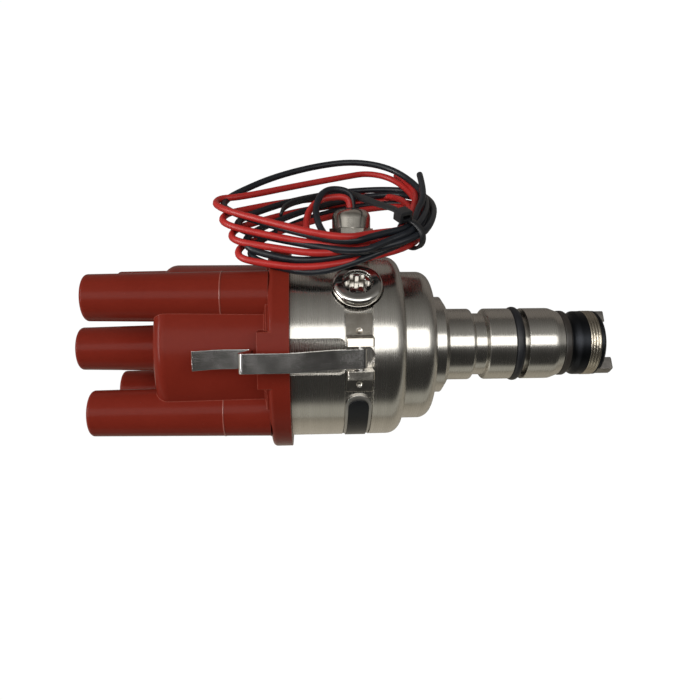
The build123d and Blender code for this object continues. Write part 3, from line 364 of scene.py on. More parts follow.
def framed_block(name, centre, across, up, through_way, outer, inner, depth, easing):
    """Block with a rectangular hole right through it and eased outer edges."""
    mesh = bmesh.new()
    loops = []
    for end in (-0.5, 0.5):
        for width, height in (outer, inner):
            loops.append([
                mesh.verts.new(
                    centre + across * width * x / 2 + up * height * y / 2
                    + through_way * depth * end
                )
                for x, y in ((-1, -1), (1, -1), (1, 1), (-1, 1))
            ])
    outer_start, inner_start, outer_end, inner_end = loops
    for a in range(4):
        b = (a + 1) % 4
        mesh.faces.new((outer_start[a], outer_start[b], outer_end[b], outer_end[a]))
        mesh.faces.new((inner_start[b], inner_start[a], inner_end[a], inner_end[b]))
        mesh.faces.new((outer_start[b], outer_start[a], inner_start[a], inner_start[b]))
        mesh.faces.new((outer_end[a], outer_end[b], inner_end[b], inner_end[a]))
    corners = set(outer_start + outer_end)
    rim = [edge for edge in mesh.edges if set(edge.verts) <= corners]
    bmesh.ops.recalc_face_normals(mesh, faces=mesh.faces)
    bmesh.ops.bevel(mesh, geom=rim, offset=easing, segments=3, profile=0.6, affect="EDGES")
    data = bpy.data.meshes.new(name)
    mesh.to_mesh(data)
    mesh.free()
    return placed(name, data)


tail_places = [  # along the shaft, across the coil, off its plane, in millimetres
    (18.2, -18.8, 6.6), (20.8, -14.1, 6.8), (24.1, -9.2, 6.0), (27.2, -4.2, 5.2),
    (30.3, 1.5, 4.2), (33.0, 6.5, 3.3), (37.3, 10.2, 2.6), (44.8, 9.4, 2.2),
    (52.4, 4.8, 2.2), (56.4, 1.3, 2.4), (59.1, -3.5, 2.6), (60.0, -9.0, 2.6),
]
tail_line = [coil_point(*place) for place in tail_places]
head_way = (tail_line[1] - tail_line[0]).normalized()
head_across = (bundle_way - head_way * bundle_way.dot(head_way)).normalized()
tie_head = framed_block(
    "tie_head", tail_line[0], head_across, head_way.cross(head_across), head_way,
    (head_width, head_height), (head_slot_width, head_slot_height), head_depth, head_easing,
)
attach(tie_head, "housing")
print("tie head is", round(head_width / mm, 1), "mm wide")

# %% Tail of the tie
def smooth_line(places, steps):
    """Catmull-Rom line through the places, with a number of steps between two of them."""
    ends = [2 * places[0] - places[1], *places, 2 * places[-1] - places[-2]]
    line = []
    for a, b, c, d in zip(ends, ends[1:], ends[2:], ends[3:]):
        for step in range(steps):
            t = step / steps
            line.append(
                0.5 * (2 * b + (c - a) * t + (2 * a - 5 * b + 4 * c - d) * t**2
                       + (3 * b - a - 3 * c + d) * t**3)
            )
    return line + [places[-1]]


tail_path = smooth_line(tail_line, 6)
tip_start = 0.9  # share of the tail after which it narrows to its tip
tip_narrowing = 0.35  # share of the width that the tip loses
tail_twist = 0.75  # how far the flat of the tail turns towards the coil's plane
tail_widths, tail_across = [], []
for index, place in enumerate(tail_path):
    share = index / (len(tail_path) - 1)
    narrowing = max(0.0, (share - tip_start) / (1 - tip_start))
    tail_widths.append(strap_width * (1 - tip_narrowing * narrowing))
    tail_across.append(bundle_way.lerp(coil_off, tail_twist * min(1.0, share * 2)))
tie_tail = swept("tie_tail", tail_path, tail_widths, strap_thickness, tail_across, False)
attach(tie_tail, "housing")
print("tail points:", len(tail_path))

# %% [markdown]
# ## Witness lines on the towers
# The mould of the cap is made of several inserts. Where two of them meet, a hair-thin ridge runs
# round each side tower, and it catches the light. Each ridge is a narrow band swept round the
# outer side of its tower, at the height where the inserts part. Its finish is a lighter red than
# the cap's, a painted highlight for the light that the ridge catches.

# %% Witness lines
tower_circle = 28.14 * mm
tower_base_height, tower_base_radius = 64.05 * mm, 8.9 * mm
tower_tip_height, tower_tip_radius = 125.45 * mm, 7.9 * mm
parting_height = 79.9 * mm
ridge_width = 0.45 * mm
ridge_thickness = 0.24 * mm
climbed = (parting_height - tower_base_height) / (tower_tip_height - tower_base_height)
parting_radius = tower_base_radius + (tower_tip_radius - tower_base_radius) * climbed
ridge_steps = 40
ridge_reach = radians(105)  # to either side of the way out; the rest lies inside the cap
for number in range(4):
    direction = radians(45 + 90 * number)
    axis = Vector((cos(direction), sin(direction), 0)) * tower_circle
    around = []
    for step in range(ridge_steps + 1):
        turn = direction + ridge_reach * (2 * step / ridge_steps - 1)
        around.append(
            axis + Vector((parting_radius * cos(turn), parting_radius * sin(turn), parting_height))
        )
    ridge = swept(
        f"witness_line_{number + 1}", around, [ridge_width] * len(around), ridge_thickness,
        [Vector((0, 0, 1))] * len(around), False,
    )
    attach(ridge, "cap")
print("witness lines at", round(parting_height / mm, 1), "mm up")
print("their radius is", round(parting_radius / mm, 2), "mm")

# %% [markdown]

# %% [markdown]
# ## The table
# Glossy metal shows its surroundings more than itself. The table stands behind the object as a
# plane that faces the camera. The camera sees it plain white, for a clean ground. Everything
# else sees another tone, beige on one side and dark grey on the other, chosen so that the metal
# reflects what suits the main view; the dark grey side is painted shade. So the reflections
# don't show the ground that is seen. From behind it lets light and sight through, so that other
# views stay free.

# %% Table
table_stand_off = 47.5 * mm  # just clear of the rear clip
table_reach = 0.9
table_data = bpy.data.meshes.new("table")
table_data.from_pydata(
    [
        (-table_reach, table_stand_off, -table_reach), (table_reach, table_stand_off, -table_reach),
        (table_reach, table_stand_off, table_reach), (-table_reach, table_stand_off, table_reach),
    ],
    [], [(0, 1, 2, 3)],
)
table = placed("table", table_data)


def node(tree, kind, inputs=None, **settings):
    """New shader node; an input is either a value or another node's output to link."""
    made = tree.nodes.new(kind)
    for name, value in settings.items():
        setattr(made, name, value)
    for name, value in (inputs or {}).items():
        if isinstance(value, bpy.types.NodeSocket):
            tree.links.new(value, made.inputs[name])
        else:
            made.inputs[name].default_value = value
    return made


def empty_material(name):
    """Material with nothing but its output node."""
    material = bpy.data.materials.new(name)
    material.use_nodes = True
    material.node_tree.nodes.clear()
    output = material.node_tree.nodes.new("ShaderNodeOutputMaterial")
    return material, material.node_tree, output


paper, tree, output = empty_material("table_paper")
seen = node(tree, "ShaderNodeLightPath").outputs["Is Camera Ray"]
white = node(tree, "ShaderNodeEmission", {"Color": (1, 1, 1, 1), "Strength": 1.02}).outputs[0]
across_table = node(
    tree, "ShaderNodeSeparateXYZ", {"Vector": node(tree, "ShaderNodeNewGeometry").outputs[0]}
).outputs["X"]
shade = node(tree, "ShaderNodeMapRange", {"Value": across_table, 1: -0.03, 2: 0.03}).outputs[0]
# The dark grey tone towards +X is painted shade; only reflections and bounce light see it.
sheet_tone_with_painted_shade = node(tree, "ShaderNodeMix", {0: shade}, data_type="RGBA")
sheet_tone_with_painted_shade.inputs[6].default_value = (0.62, 0.58, 0.50, 1)
sheet_tone_with_painted_shade.inputs[7].default_value = (0.27, 0.25, 0.235, 1)
sheet = node(tree, "ShaderNodeBsdfDiffuse", {"Color": sheet_tone_with_painted_shade.outputs[2]}).outputs[0]
front = node(tree, "ShaderNodeMixShader", {0: seen, 1: sheet, 2: white}).outputs[0]
behind = node(tree, "ShaderNodeNewGeometry").outputs["Backfacing"]
clear = node(tree, "ShaderNodeBsdfTransparent").outputs[0]
both = node(tree, "ShaderNodeMixShader", {0: behind, 1: front, 2: clear}).outputs[0]
tree.links.new(both, output.inputs["Surface"])
table_data.materials.append(paper)
print("table stands", round(table_stand_off / mm, 1), "mm behind the shaft")

# %% [markdown]
# ## Lamps
# A turned cylinder reads as metal because it reflects bright and dark stretches side by side.
# One long window-like lamp makes the wide bright band along the whole length, and a narrow strip
# beyond the cap's end lights what faces that way. Both are large compared with the object, which
# keeps every shadow soft.

# %% Lamps
def lamp(name, place, aim, width, length, watts, colour):
    """Rectangular area lamp whose long side lies along the shaft."""
    data = bpy.data.lights.new(name, "AREA")
    data.shape = "RECTANGLE"
    data.size, data.size_y = width, length
    data.energy = watts
    data.color = colour
    piece = placed(name, data)
    back = (Vector(place) - Vector(aim)).normalized()
    side = Vector((0, 0, 1)).cross(back).normalized()
    piece.matrix_world = (
        Matrix.Translation(Vector(place))
        @ Matrix((side, back.cross(side), back)).transposed().to_4x4()
    )
    return piece


middle = (0.0, 0.0, 0.03)
lamps = [
    lamp("window", (0.158, -0.541, 0.06), middle, 0.30, 0.95, 2.0, (1.0, 0.99, 0.965)),
    lamp("left_strip", (0.10, -0.28, 0.60), middle, 0.40, 0.06, 1.8, (1.0, 0.98, 0.97)),
]
print("lamps:", ", ".join(piece.name for piece in lamps))

# %% [markdown]
# ## The room
# Between the lamps the metal reflects walls. Their tone changes with the angle round the shaft,
# by a ramp of twelve stops, and they brighten towards the cap's end. The stops were adjusted
# until the bands on the barrel fell right in the main view. They are a fit to that one view and
# don't describe a real room, so under other light the same finishes look different.

# %% Room
room = bpy.data.worlds.new("room")
bpy.context.scene.world = room
room.use_nodes = True
tree = room.node_tree
tree.nodes.clear()
direction = node(tree, "ShaderNodeTexCoord").outputs["Generated"]
split = node(tree, "ShaderNodeSeparateXYZ", {"Vector": direction})
towards_front = node(
    tree, "ShaderNodeMath", {0: split.outputs["Y"], 1: -1.0}, operation="MULTIPLY"
).outputs[0]
round_shaft = node(
    tree, "ShaderNodeMath", {0: split.outputs["X"], 1: towards_front}, operation="ARCTAN2"
).outputs[0]
place = node(
    tree, "ShaderNodeMapRange", {"Value": round_shaft, 1: -pi, 2: pi}
).outputs[0]
wall_tones = node(tree, "ShaderNodeValToRGB", {"Fac": place})
room_walls = [  # degrees from straight in front towards the gland's side, then the wall's tone
    (-180, (0.30, 0.29, 0.26)), (-130, (0.40, 0.39, 0.345)), (-76, (0.40, 0.39, 0.345)),
    (-65, (0.036, 0.035, 0.033)), (-26, (0.036, 0.035, 0.033)), (-6, (0.06, 0.058, 0.055)),
    (3, (0.28, 0.275, 0.26)), (44, (0.29, 0.285, 0.27)), (60, (0.20, 0.195, 0.185)),
    (74, (0.135, 0.13, 0.12)), (92, (0.10, 0.095, 0.09)), (180, (0.14, 0.125, 0.115)),
]
ramp = wall_tones.color_ramp
for angle, tone in room_walls[1:-1]:
    ramp.elements.new((angle + 180) / 360)
for stop, (angle, tone) in zip(ramp.elements, room_walls):
    stop.position = (angle + 180) / 360
    stop.color = (*tone, 1)
end_wall = node(
    tree, "ShaderNodeMapRange", {"Value": split.outputs["Z"], 1: 0.25, 2: 0.55, 3: 1.0, 4: 2.6}
).outputs[0]
walls = node(
    tree, "ShaderNodeBackground", {"Color": wall_tones.outputs["Color"], "Strength": end_wall}
).outputs[0]
ground = node(tree, "ShaderNodeBackground", {"Color": (1, 1, 1, 1), "Strength": 1.0}).outputs[0]
seen = node(tree, "ShaderNodeLightPath").outputs["Is Camera Ray"]
mixed = node(tree, "ShaderNodeMixShader", {0: seen, 1: walls, 2: ground}).outputs[0]
output = tree.nodes.new("ShaderNodeOutputWorld")
tree.links.new(mixed, output.inputs["Surface"])
bpy.context.scene.view_settings.view_transform = "Standard"
print("room has", len(room_walls), "wall tones round the shaft")

# %% [markdown]
# # Finishes
# A surface looks real when it isn't the same everywhere. Some causes are shared by many
# materials: the eased and rubbed edges of every machined or moulded part, slow changes of gloss,
# fine dust, the circular lines that a lathe leaves and the straight lines of rolled or drawn
# stock. Each becomes one shader node group that gives out masks, values or a normal, and each
# material takes what it needs with its own settings. Lengths go in as millimetres.

# %% Group helpers
def new_group(name, inputs, outputs):
    """Shader node group whose inputs are numbers; returns the tree and its two end nodes."""
    group = bpy.data.node_groups.new(name, "ShaderNodeTree")
    for label, value in inputs.items():
        socket = group.interface.new_socket(label, in_out="INPUT", socket_type="NodeSocketFloat")
        socket.default_value = value
    for label, kind in outputs.items():
        group.interface.new_socket(label, in_out="OUTPUT", socket_type=kind)
    return group, group.nodes.new("NodeGroupInput"), group.nodes.new("NodeGroupOutput")


def maths(tree, operation, first, second=0.0):
    """Output of one Math node."""
    return node(tree, "ShaderNodeMath", {0: first, 1: second}, operation=operation).outputs[0]


def spread(tree, value, low, high, to_low=0.0, to_high=1.0):
    """Output of a Map Range node, clamped."""
    return node(
        tree, "ShaderNodeMapRange", {"Value": value, 1: low, 2: high, 3: to_low, 4: to_high}
    ).outputs[0]


def millimetres(tree):
    """Object coordinates as a vector in millimetres."""
    place = node(tree, "ShaderNodeTexCoord").outputs["Object"]
    return node(
        tree, "ShaderNodeVectorMath", {0: place, "Scale": 1 / mm}, operation="SCALE"
    ).outputs[0]


FLOAT, VECTOR = "NodeSocketFloat", "NodeSocketVector"

# %% [markdown]
# ## Eased edges
# A machined edge is never perfectly sharp. The Bevel node bends the normal near an edge, and the
# angle between the bent and the flat normal tells where the edge is.

# %% Eased edges
eased_edges, entry, leave = new_group(
    "eased_edges", {"Radius": 0.25, "Wear Scale": 2.0}, {"Normal": VECTOR, "Edge": FLOAT}
)
radius = maths(eased_edges, "MULTIPLY", entry.outputs["Radius"], mm)
bent = node(eased_edges, "ShaderNodeBevel", {"Radius": radius}, samples=6).outputs[0]
flat_normal = node(eased_edges, "ShaderNodeNewGeometry").outputs["Normal"]
agree = node(
    eased_edges, "ShaderNodeVectorMath", {0: bent, 1: flat_normal}, operation="DOT_PRODUCT"
).outputs["Value"]
patchy = node(
    eased_edges, "ShaderNodeTexNoise",
    {"Vector": millimetres(eased_edges), "Scale": entry.outputs["Wear Scale"], "Detail": 3.0},
).outputs["Fac"]
rim = spread(eased_edges, agree, 0.995, 0.90)
rubbed = spread(eased_edges, patchy, 0.32, 0.6, 0.45, 1.0)
eased_edges.links.new(bent, leave.inputs["Normal"])
eased_edges.links.new(maths(eased_edges, "MULTIPLY", rim, rubbed), leave.inputs["Edge"])

# %% [markdown]
# ## Slow variation
# Handling, moulding and cleaning leave large soft patches of slightly different gloss and tone.

# %% Slow variation
slow_variation, entry, leave = new_group(
    "slow_variation", {"Patch Size": 12.0, "Low": 0.0, "High": 1.0}, {"Value": FLOAT}
)
cloud = node(
    slow_variation, "ShaderNodeTexNoise",
    {
        "Vector": millimetres(slow_variation), "Detail": 4.0, "Roughness": 0.55,
        "Scale": maths(slow_variation, "DIVIDE", 1.0, entry.outputs["Patch Size"]),
    },
).outputs["Fac"]
between = node(
    slow_variation, "ShaderNodeMapRange",
    {"Value": cloud, 1: 0.3, 2: 0.7, 3: entry.outputs["Low"], 4: entry.outputs["High"]},
).outputs[0]
slow_variation.links.new(between, leave.inputs["Value"])

# %% [markdown]
# ## Dust and specks
# Dust is a scatter of tiny round marks. A Voronoi pattern gives one point per cell, and a second
# noise lets only some of the cells show.

# %% Dust and specks
dust_specks, entry, leave = new_group(
    "dust_specks", {"Spacing": 3.0, "Speck Size": 0.12, "Share": 0.5}, {"Mask": FLOAT}
)
cells = node(
    dust_specks, "ShaderNodeTexVoronoi",
    {
        "Vector": millimetres(dust_specks),
        "Scale": maths(dust_specks, "DIVIDE", 1.0, entry.outputs["Spacing"]),
    },
)
speck = maths(
    dust_specks, "LESS_THAN",
    maths(dust_specks, "MULTIPLY", cells.outputs["Distance"], entry.outputs["Spacing"]),
    entry.outputs["Speck Size"],
)
lot = node(dust_specks, "ShaderNodeSeparateColor", {0: cells.outputs["Color"]}).outputs[0]
chosen = maths(dust_specks, "LESS_THAN", lot, entry.outputs["Share"])
dust_specks.links.new(maths(dust_specks, "MULTIPLY", speck, chosen), leave.inputs["Mask"])

# %% [markdown]
# ## Lines of the lathe
# A lathe's tool leaves rings. On a cylinder they follow each other along the axis and on a face
# along the radius, so one noise along the sum of both serves the whole turned part.

# %% Lines of the lathe
turned_lines, entry, leave = new_group(
    "turned_lines", {"Pitch": 0.25, "Band": 4.0}, {"Line": FLOAT, "Band Tone": FLOAT}
)
axes = node(turned_lines, "ShaderNodeSeparateXYZ", {"Vector": millimetres(turned_lines)})
square = maths(
    turned_lines, "ADD",
    maths(turned_lines, "MULTIPLY", axes.outputs["X"], axes.outputs["X"]),
    maths(turned_lines, "MULTIPLY", axes.outputs["Y"], axes.outputs["Y"]),
)
feed = maths(turned_lines, "ADD", axes.outputs["Z"], maths(turned_lines, "SQRT", square))
fine = node(
    turned_lines, "ShaderNodeTexNoise",
    {"W": maths(turned_lines, "DIVIDE", feed, entry.outputs["Pitch"]), "Scale": 1.0, "Detail": 2.0},
    noise_dimensions="1D",
).outputs["Fac"]
broad = node(
    turned_lines, "ShaderNodeTexNoise",
    {"W": maths(turned_lines, "DIVIDE", feed, entry.outputs["Band"]), "Scale": 1.0, "Detail": 3.0},
    noise_dimensions="1D",
).outputs["Fac"]
turned_lines.links.new(spread(turned_lines, fine, 0.25, 0.75), leave.inputs["Line"])
turned_lines.links.new(spread(turned_lines, broad, 0.3, 0.7), leave.inputs["Band Tone"])

# %% [markdown]
# ## Straight grain
# Rolled strip and drawn wire carry long scratches one way. Squeezing the noise's coordinates
# along that way stretches its spots into lines.

# %% Straight grain
straight_grain, entry, leave = new_group(
    "straight_grain",
    {"Along X": 1.0, "Along Y": 1.0, "Along Z": 0.03, "Width": 0.15}, {"Line": FLOAT},
)
stretch = node(
    straight_grain, "ShaderNodeCombineXYZ",
    {axis: entry.outputs[f"Along {axis}"] for axis in "XYZ"},
).outputs[0]
squeezed = node(
    straight_grain, "ShaderNodeVectorMath", {0: millimetres(straight_grain), 1: stretch},
    operation="MULTIPLY",
).outputs[0]
scratches = node(
    straight_grain, "ShaderNodeTexNoise",
    {
        "Vector": squeezed, "Detail": 3.0, "Roughness": 0.6,
        "Scale": maths(straight_grain, "DIVIDE", 1.0, entry.outputs["Width"]),
    },
).outputs["Fac"]
straight_grain.links.new(spread(straight_grain, scratches, 0.3, 0.7), leave.inputs["Line"])
print("shared effects:", [group.name for group in bpy.data.node_groups])

# %% [markdown]
# ## How a material is put together here
# Every finish below ends in one Principled shader. A small helper makes it, sets what never
# varies, such as sheen, on the sockets themselves, and links what does vary. The base colour is
# a ramp between two tones of the same stuff, steered by one of the masks above.

# %% Material helpers
materials = {}


def shader(name, settings=None):
    """Material with one Principled shader; settings are constants on its sockets."""
    material, tree, output = empty_material(name)
    principled = node(tree, "ShaderNodeBsdfPrincipled")
    for label, value in (settings or {}).items():
        principled.inputs[label].default_value = value
    tree.links.new(principled.outputs[0], output.inputs["Surface"])
    materials[name] = material
    return tree, principled


def use(tree, group, **values):
    """Place a shared effect in a material; underscores in a name stand for spaces."""
    placed = tree.nodes.new("ShaderNodeGroup")
    placed.node_tree = group
    for label, value in values.items():
        label = label.replace("_", " ")
        if isinstance(value, bpy.types.NodeSocket):
            tree.links.new(value, placed.inputs[label])
        else:
            placed.inputs[label].default_value = value
    return placed.outputs


def tones(tree, factor, first, second):
    """Colour between two tones."""
    mix = node(tree, "ShaderNodeMix", {0: factor}, data_type="RGBA")
    for index, tone in ((6, first), (7, second)):
        if isinstance(tone, bpy.types.NodeSocket):
            tree.links.new(tone, mix.inputs[index])
        else:
            mix.inputs[index].default_value = (*tone, 1)
    return mix.outputs[2]


def bump(tree, height, depth, normal=None):
    """Normal with small relief; depth is in millimetres."""
    inputs = {"Height": height, "Distance": depth * mm, "Strength": 1.0}
    if normal is not None:
        inputs["Normal"] = normal
    return node(tree, "ShaderNodeBump", inputs).outputs[0]


def plug(tree, principled, **sockets):
    """Link node outputs to the shader's inputs."""
    for label, value in sockets.items():
        tree.links.new(value, principled.inputs[label.replace("_", " ")])


# %% [markdown]
# ## Turned aluminium
# The housing is an aluminium casting turned all over, so its barrel and shank carry fine rings
# and shine in long bands. The rings stretch every reflection across the shaft. Anisotropy does
# that when its tangent runs round the axis, and a radial tangent gives exactly this.

# %% Turned aluminium
def turned_metal(name, light, dark, rough, pitch, depth, stretch, scale_of_patches=9.0):
    """Metal with lathe lines, eased edges and slow changes of gloss."""
    tree, principled = shader(
        name, {"Metallic": 1.0, "Anisotropic": stretch, "Anisotropic Rotation": 0.25}
    )
    lines = use(tree, turned_lines, Pitch=pitch, Band=3.4)
    patch = use(tree, slow_variation, Patch_Size=scale_of_patches)["Value"]
    edge = use(tree, eased_edges, Radius=0.28)
    tone = maths(
        tree, "ADD", maths(tree, "MULTIPLY", lines["Band Tone"], 0.7),
        maths(tree, "MULTIPLY", patch, 0.3),
    )
    colour = tones(tree, tone, dark, light)
    bright = tuple(min(1.0, part * 1.18) for part in light)
    colour = tones(tree, maths(tree, "MULTIPLY", edge["Edge"], 0.6), colour, bright)
    gloss = maths(
        tree, "ADD", spread(tree, lines["Line"], 0, 1, rough - 0.05, rough + 0.05),
        spread(tree, patch, 0, 1, -0.015, 0.025),
    )
    tangent = node(tree, "ShaderNodeTangent", direction_type="RADIAL", axis="Z").outputs[0]
    plug(
        tree, principled, Base_Color=colour, Roughness=gloss, Tangent=tangent,
        Normal=bump(tree, lines["Line"], depth, edge["Normal"]),
    )
    return tree, principled


turned_metal("turned_aluminium", (0.66, 0.64, 0.60), (0.58, 0.56, 0.52), 0.25, 0.16, 0.0012, 0.72)
turned_metal("ground_steel", (0.62, 0.61, 0.60), (0.48, 0.47, 0.46), 0.22, 0.09, 0.002, 0.6)
turned_metal("drawn_brass", (0.78, 0.58, 0.27), (0.62, 0.43, 0.17), 0.27, 0.12, 0.003, 0.5)
turned_metal("black_oxide", (0.034, 0.036, 0.041), (0.022, 0.024, 0.028), 0.44, 0.14, 0.002, 0.4)

# %% [markdown]
# ## Moulded plastics
# The cap is a glossy glass-filled moulding in brick red. Two things make it look moulded: its
# edges are rounded by the mould, so they catch a thin light line, which a lighter edge tone adds
# to as rubbed wear and a painted highlight, and the filler leaves faint mottling and a slightly
# uneven gloss. The same recipe in other colours gives the rotor, the small black mouldings, the
# fibre washer and the rubber parts.

# %% Moulded plastics
def moulded(name, main, second, rough, edge_radius, edge_wear_and_highlight, grain, settings=None, speck=0.0):
    """Plastic with mottled tone, mould-rounded edges with wear and a painted highlight, and a
    little dust.
    """
    tree, principled = shader(name, {"Metallic": 0.0, **(settings or {})})
    mottle = use(tree, slow_variation, Patch_Size=1.6)["Value"]
    patch = use(tree, slow_variation, Patch_Size=14.0)["Value"]
    edge = use(tree, eased_edges, Radius=edge_radius)
    tone = maths(
        tree, "ADD", maths(tree, "MULTIPLY", mottle, 0.35), maths(tree, "MULTIPLY", patch, 0.65)
    )
    colour = tones(tree, tone, main, second)
    # The lighter edge tone is rubbed wear and also a painted highlight on the rounded edges.
    colour = tones(tree, maths(tree, "MULTIPLY", edge["Edge"], 0.5), colour, edge_wear_and_highlight)
    dust = use(tree, dust_specks, Spacing=2.6, Speck_Size=0.07, Share=0.4)["Mask"]
    dusted = tones(tree, maths(tree, "MULTIPLY", dust, speck), colour, (0.55, 0.50, 0.46))
    gloss = maths(
        tree, "ADD", spread(tree, patch, 0, 1, rough - 0.03, rough + 0.05),
        maths(tree, "MULTIPLY", dust, 0.2),
    )
    fine = node(
        tree, "ShaderNodeTexNoise",
        {"Vector": millimetres(tree), "Scale": 2.4, "Detail": 3.0, "Roughness": 0.6},
    ).outputs["Fac"]
    plug(
        tree, principled, Base_Color=dusted, Roughness=gloss,
        Normal=bump(tree, fine, grain, edge["Normal"]),
    )
    return tree, principled


moulded(
    "brick_red_moulding", (0.166, 0.0178, 0.0102), (0.190, 0.0212, 0.0122), 0.22, 0.4,
    (0.46, 0.14, 0.10), 0.006, {"IOR": 1.5, "Specular IOR Level": 0.08}, 0.1,
)
# The ridges' lighter red is a painted highlight for the light that they catch.
moulded(
    "ridge_painted_highlight", (0.27, 0.070, 0.052), (0.33, 0.095, 0.072), 0.2, 0.1, (0.40, 0.14, 0.11), 0.004,
)
moulded(
    "rotor_brown", (0.16, 0.025, 0.014), (0.22, 0.035, 0.02), 0.38, 0.3, (0.34, 0.10, 0.07), 0.014,
)
moulded(
    "black_nylon", (0.010, 0.011, 0.013), (0.017, 0.018, 0.021), 0.34, 0.22,
    (0.045, 0.046, 0.05), 0.008, speck=0.15,
)
moulded(
    "black_rubber", (0.011, 0.012, 0.015), (0.018, 0.019, 0.023), 0.40, 0.3, (0.035, 0.037, 0.042),
    0.02, {"Specular IOR Level": 0.4}, 0.2,
)
moulded(
    "dark_fibre", (0.020, 0.017, 0.015), (0.036, 0.030, 0.026), 0.42, 0.25,
    (0.07, 0.06, 0.05), 0.02,
)
moulded(
    "pressed_carbon", (0.022, 0.021, 0.021), (0.05, 0.048, 0.046), 0.48, 0.2, (0.12, 0.12, 0.12),
    0.02, {"Specular IOR Level": 0.7}, 0.1,
)
moulded(
    "blank_black_label", (0.008, 0.009, 0.011), (0.013, 0.014, 0.016), 0.27, 0.1,
    (0.03, 0.03, 0.03), 0.002, {"Specular IOR Level": 0.2}, 0.1,
)
print("finishes so far:", ", ".join(materials))

# %% [markdown]
# ## Bright strip and plated parts
# The clips are bent from bright steel strip, so their scratches run along the strip. The gland
# and the lugs are nickel plated castings, smooth but slightly wavy. The round plug is chromed.
# Plating softens fine marks and keeps broad ones, so its relief is slow rather than fine. Two
# things here are chosen for looks and aren't physics. Recesses get painted shade: their colour
# darkens by how little open space is near them. And the gland and the upper lugs have their
# shading normals tipped sideways by the value named lean, which moves what they reflect in the
# main view. From other sides their reflections are off by the same turn, and a lean of (0, 0, 0)
# gives the true ones.

# %% Strip steel
def strip_metal(name, light, dark, rough, grain, depth):
    """Metal strip with straight scratches; grain gives the three squeeze factors."""
    tree, principled = shader(name, {"Metallic": 1.0, "Anisotropic": 0.35})
    lines = use(
        tree, straight_grain, Along_X=grain[0], Along_Y=grain[1], Along_Z=grain[2], Width=0.12
    )["Line"]
    patch = use(tree, slow_variation, Patch_Size=5.0)["Value"]
    edge = use(tree, eased_edges, Radius=0.22)
    tone = maths(
        tree, "ADD", maths(tree, "MULTIPLY", lines, 0.3), maths(tree, "MULTIPLY", patch, 0.7)
    )
    bright = tuple(min(1.0, part * 1.2) for part in light)
    colour = tones(tree, edge["Edge"], tones(tree, tone, dark, light), bright)
    gloss = maths(
        tree, "ADD", spread(tree, lines, 0, 1, rough - 0.02, rough + 0.02),
        spread(tree, patch, 0, 1, -0.02, 0.04),
    )
    plug(
        tree, principled, Base_Color=colour, Roughness=gloss,
        Normal=bump(tree, lines, depth, edge["Normal"]),
    )
    return tree, principled


strip_metal("clip_steel", (0.68, 0.67, 0.66), (0.58, 0.57, 0.56), 0.16, (1, 0.05, 0.02), 0.0008)
strip_metal("spring_wire", (0.50, 0.46, 0.38), (0.40, 0.36, 0.30), 0.22, (0.3, 0.3, 0.3), 0.0005)
strip_metal("plate_grey", (0.60, 0.59, 0.57), (0.47, 0.46, 0.44), 0.34, (1, 0.06, 0.03), 0.003)
strip_metal("ground_pin", (0.60, 0.59, 0.57), (0.42, 0.41, 0.40), 0.25, (0.04, 1, 1), 0.002)


# %% Plated castings
def plated(name, light, dark, rough, wave, pits, lean=(0.0, 0.0, 0.0)):
    """Plated metal: slow waves, few fine pits, bright edges, painted recess shade; lean tips the
    whole surface.
    """
    tree, principled = shader(name, {"Metallic": 1.0})
    patch = use(tree, slow_variation, Patch_Size=3.0)["Value"]
    edge = use(tree, eased_edges, Radius=0.3)
    pit = use(tree, dust_specks, Spacing=0.9, Speck_Size=0.07, Share=pits)["Mask"]
    bright = tuple(min(1.0, part * 1.12) for part in light)
    colour = tones(tree, edge["Edge"], tones(tree, patch, dark, light), bright)
    colour = tones(tree, maths(tree, "MULTIPLY", pit, 0.6), colour, (0.10, 0.085, 0.07))
    # Painted shade: the colour darkens to dark brown where little open space is near, in recesses.
    openness_for_painted_shade = node(
        tree, "ShaderNodeAmbientOcclusion", {"Distance": 2.0 * mm}, samples=8
    ).outputs["AO"]
    colour = tones(tree, spread(tree, openness_for_painted_shade, 0.35, 0.8), (0.07, 0.06, 0.05), colour)
    waves = node(
        tree, "ShaderNodeTexNoise",
        {"Vector": millimetres(tree), "Scale": 0.35, "Detail": 2.0, "Roughness": 0.4},
    ).outputs["Fac"]
    leaning = node(
        tree, "ShaderNodeVectorMath", {0: edge["Normal"], 1: lean}, operation="ADD"
    ).outputs[0]
    straight = node(
        tree, "ShaderNodeVectorMath", {0: leaning}, operation="NORMALIZE"
    ).outputs[0]
    plug(
        tree, principled, Base_Color=colour,
        Roughness=spread(tree, patch, 0, 1, rough, rough + 0.1),
        Normal=bump(tree, waves, wave, straight),
    )
    return tree, principled


plated("bright_nickel", (0.70, 0.67, 0.61), (0.62, 0.59, 0.54), 0.17, 0.008, 0.08)
plated("gland_nickel", (0.70, 0.67, 0.61), (0.62, 0.59, 0.54), 0.17, 0.008, 0.08, (0.32, 0.0, 0.0))
plated("ear_nickel", (0.66, 0.62, 0.56), (0.56, 0.52, 0.46), 0.12, 0.006, 0.08, (0.17, 0.0, 0.0))
plated("chrome", (0.72, 0.70, 0.67), (0.62, 0.60, 0.57), 0.09, 0.006, 0.04)
plated("sintered_steel", (0.34, 0.32, 0.30), (0.20, 0.19, 0.18), 0.38, 0.04, 0.8)
plated("sintered_bronze", (0.52, 0.33, 0.16), (0.34, 0.20, 0.09), 0.40, 0.04, 0.9)
print("finishes so far:", len(materials))

# %% [markdown]
# ## Wire insulation
# PVC insulation is extruded, so it is smooth along the wire with a soft gloss, slightly wavy,
# and a little dusty where it has been handled. The short stub of the loom that the solid model
# has is mostly hidden, and takes red or black by which side of the pair it lies on.

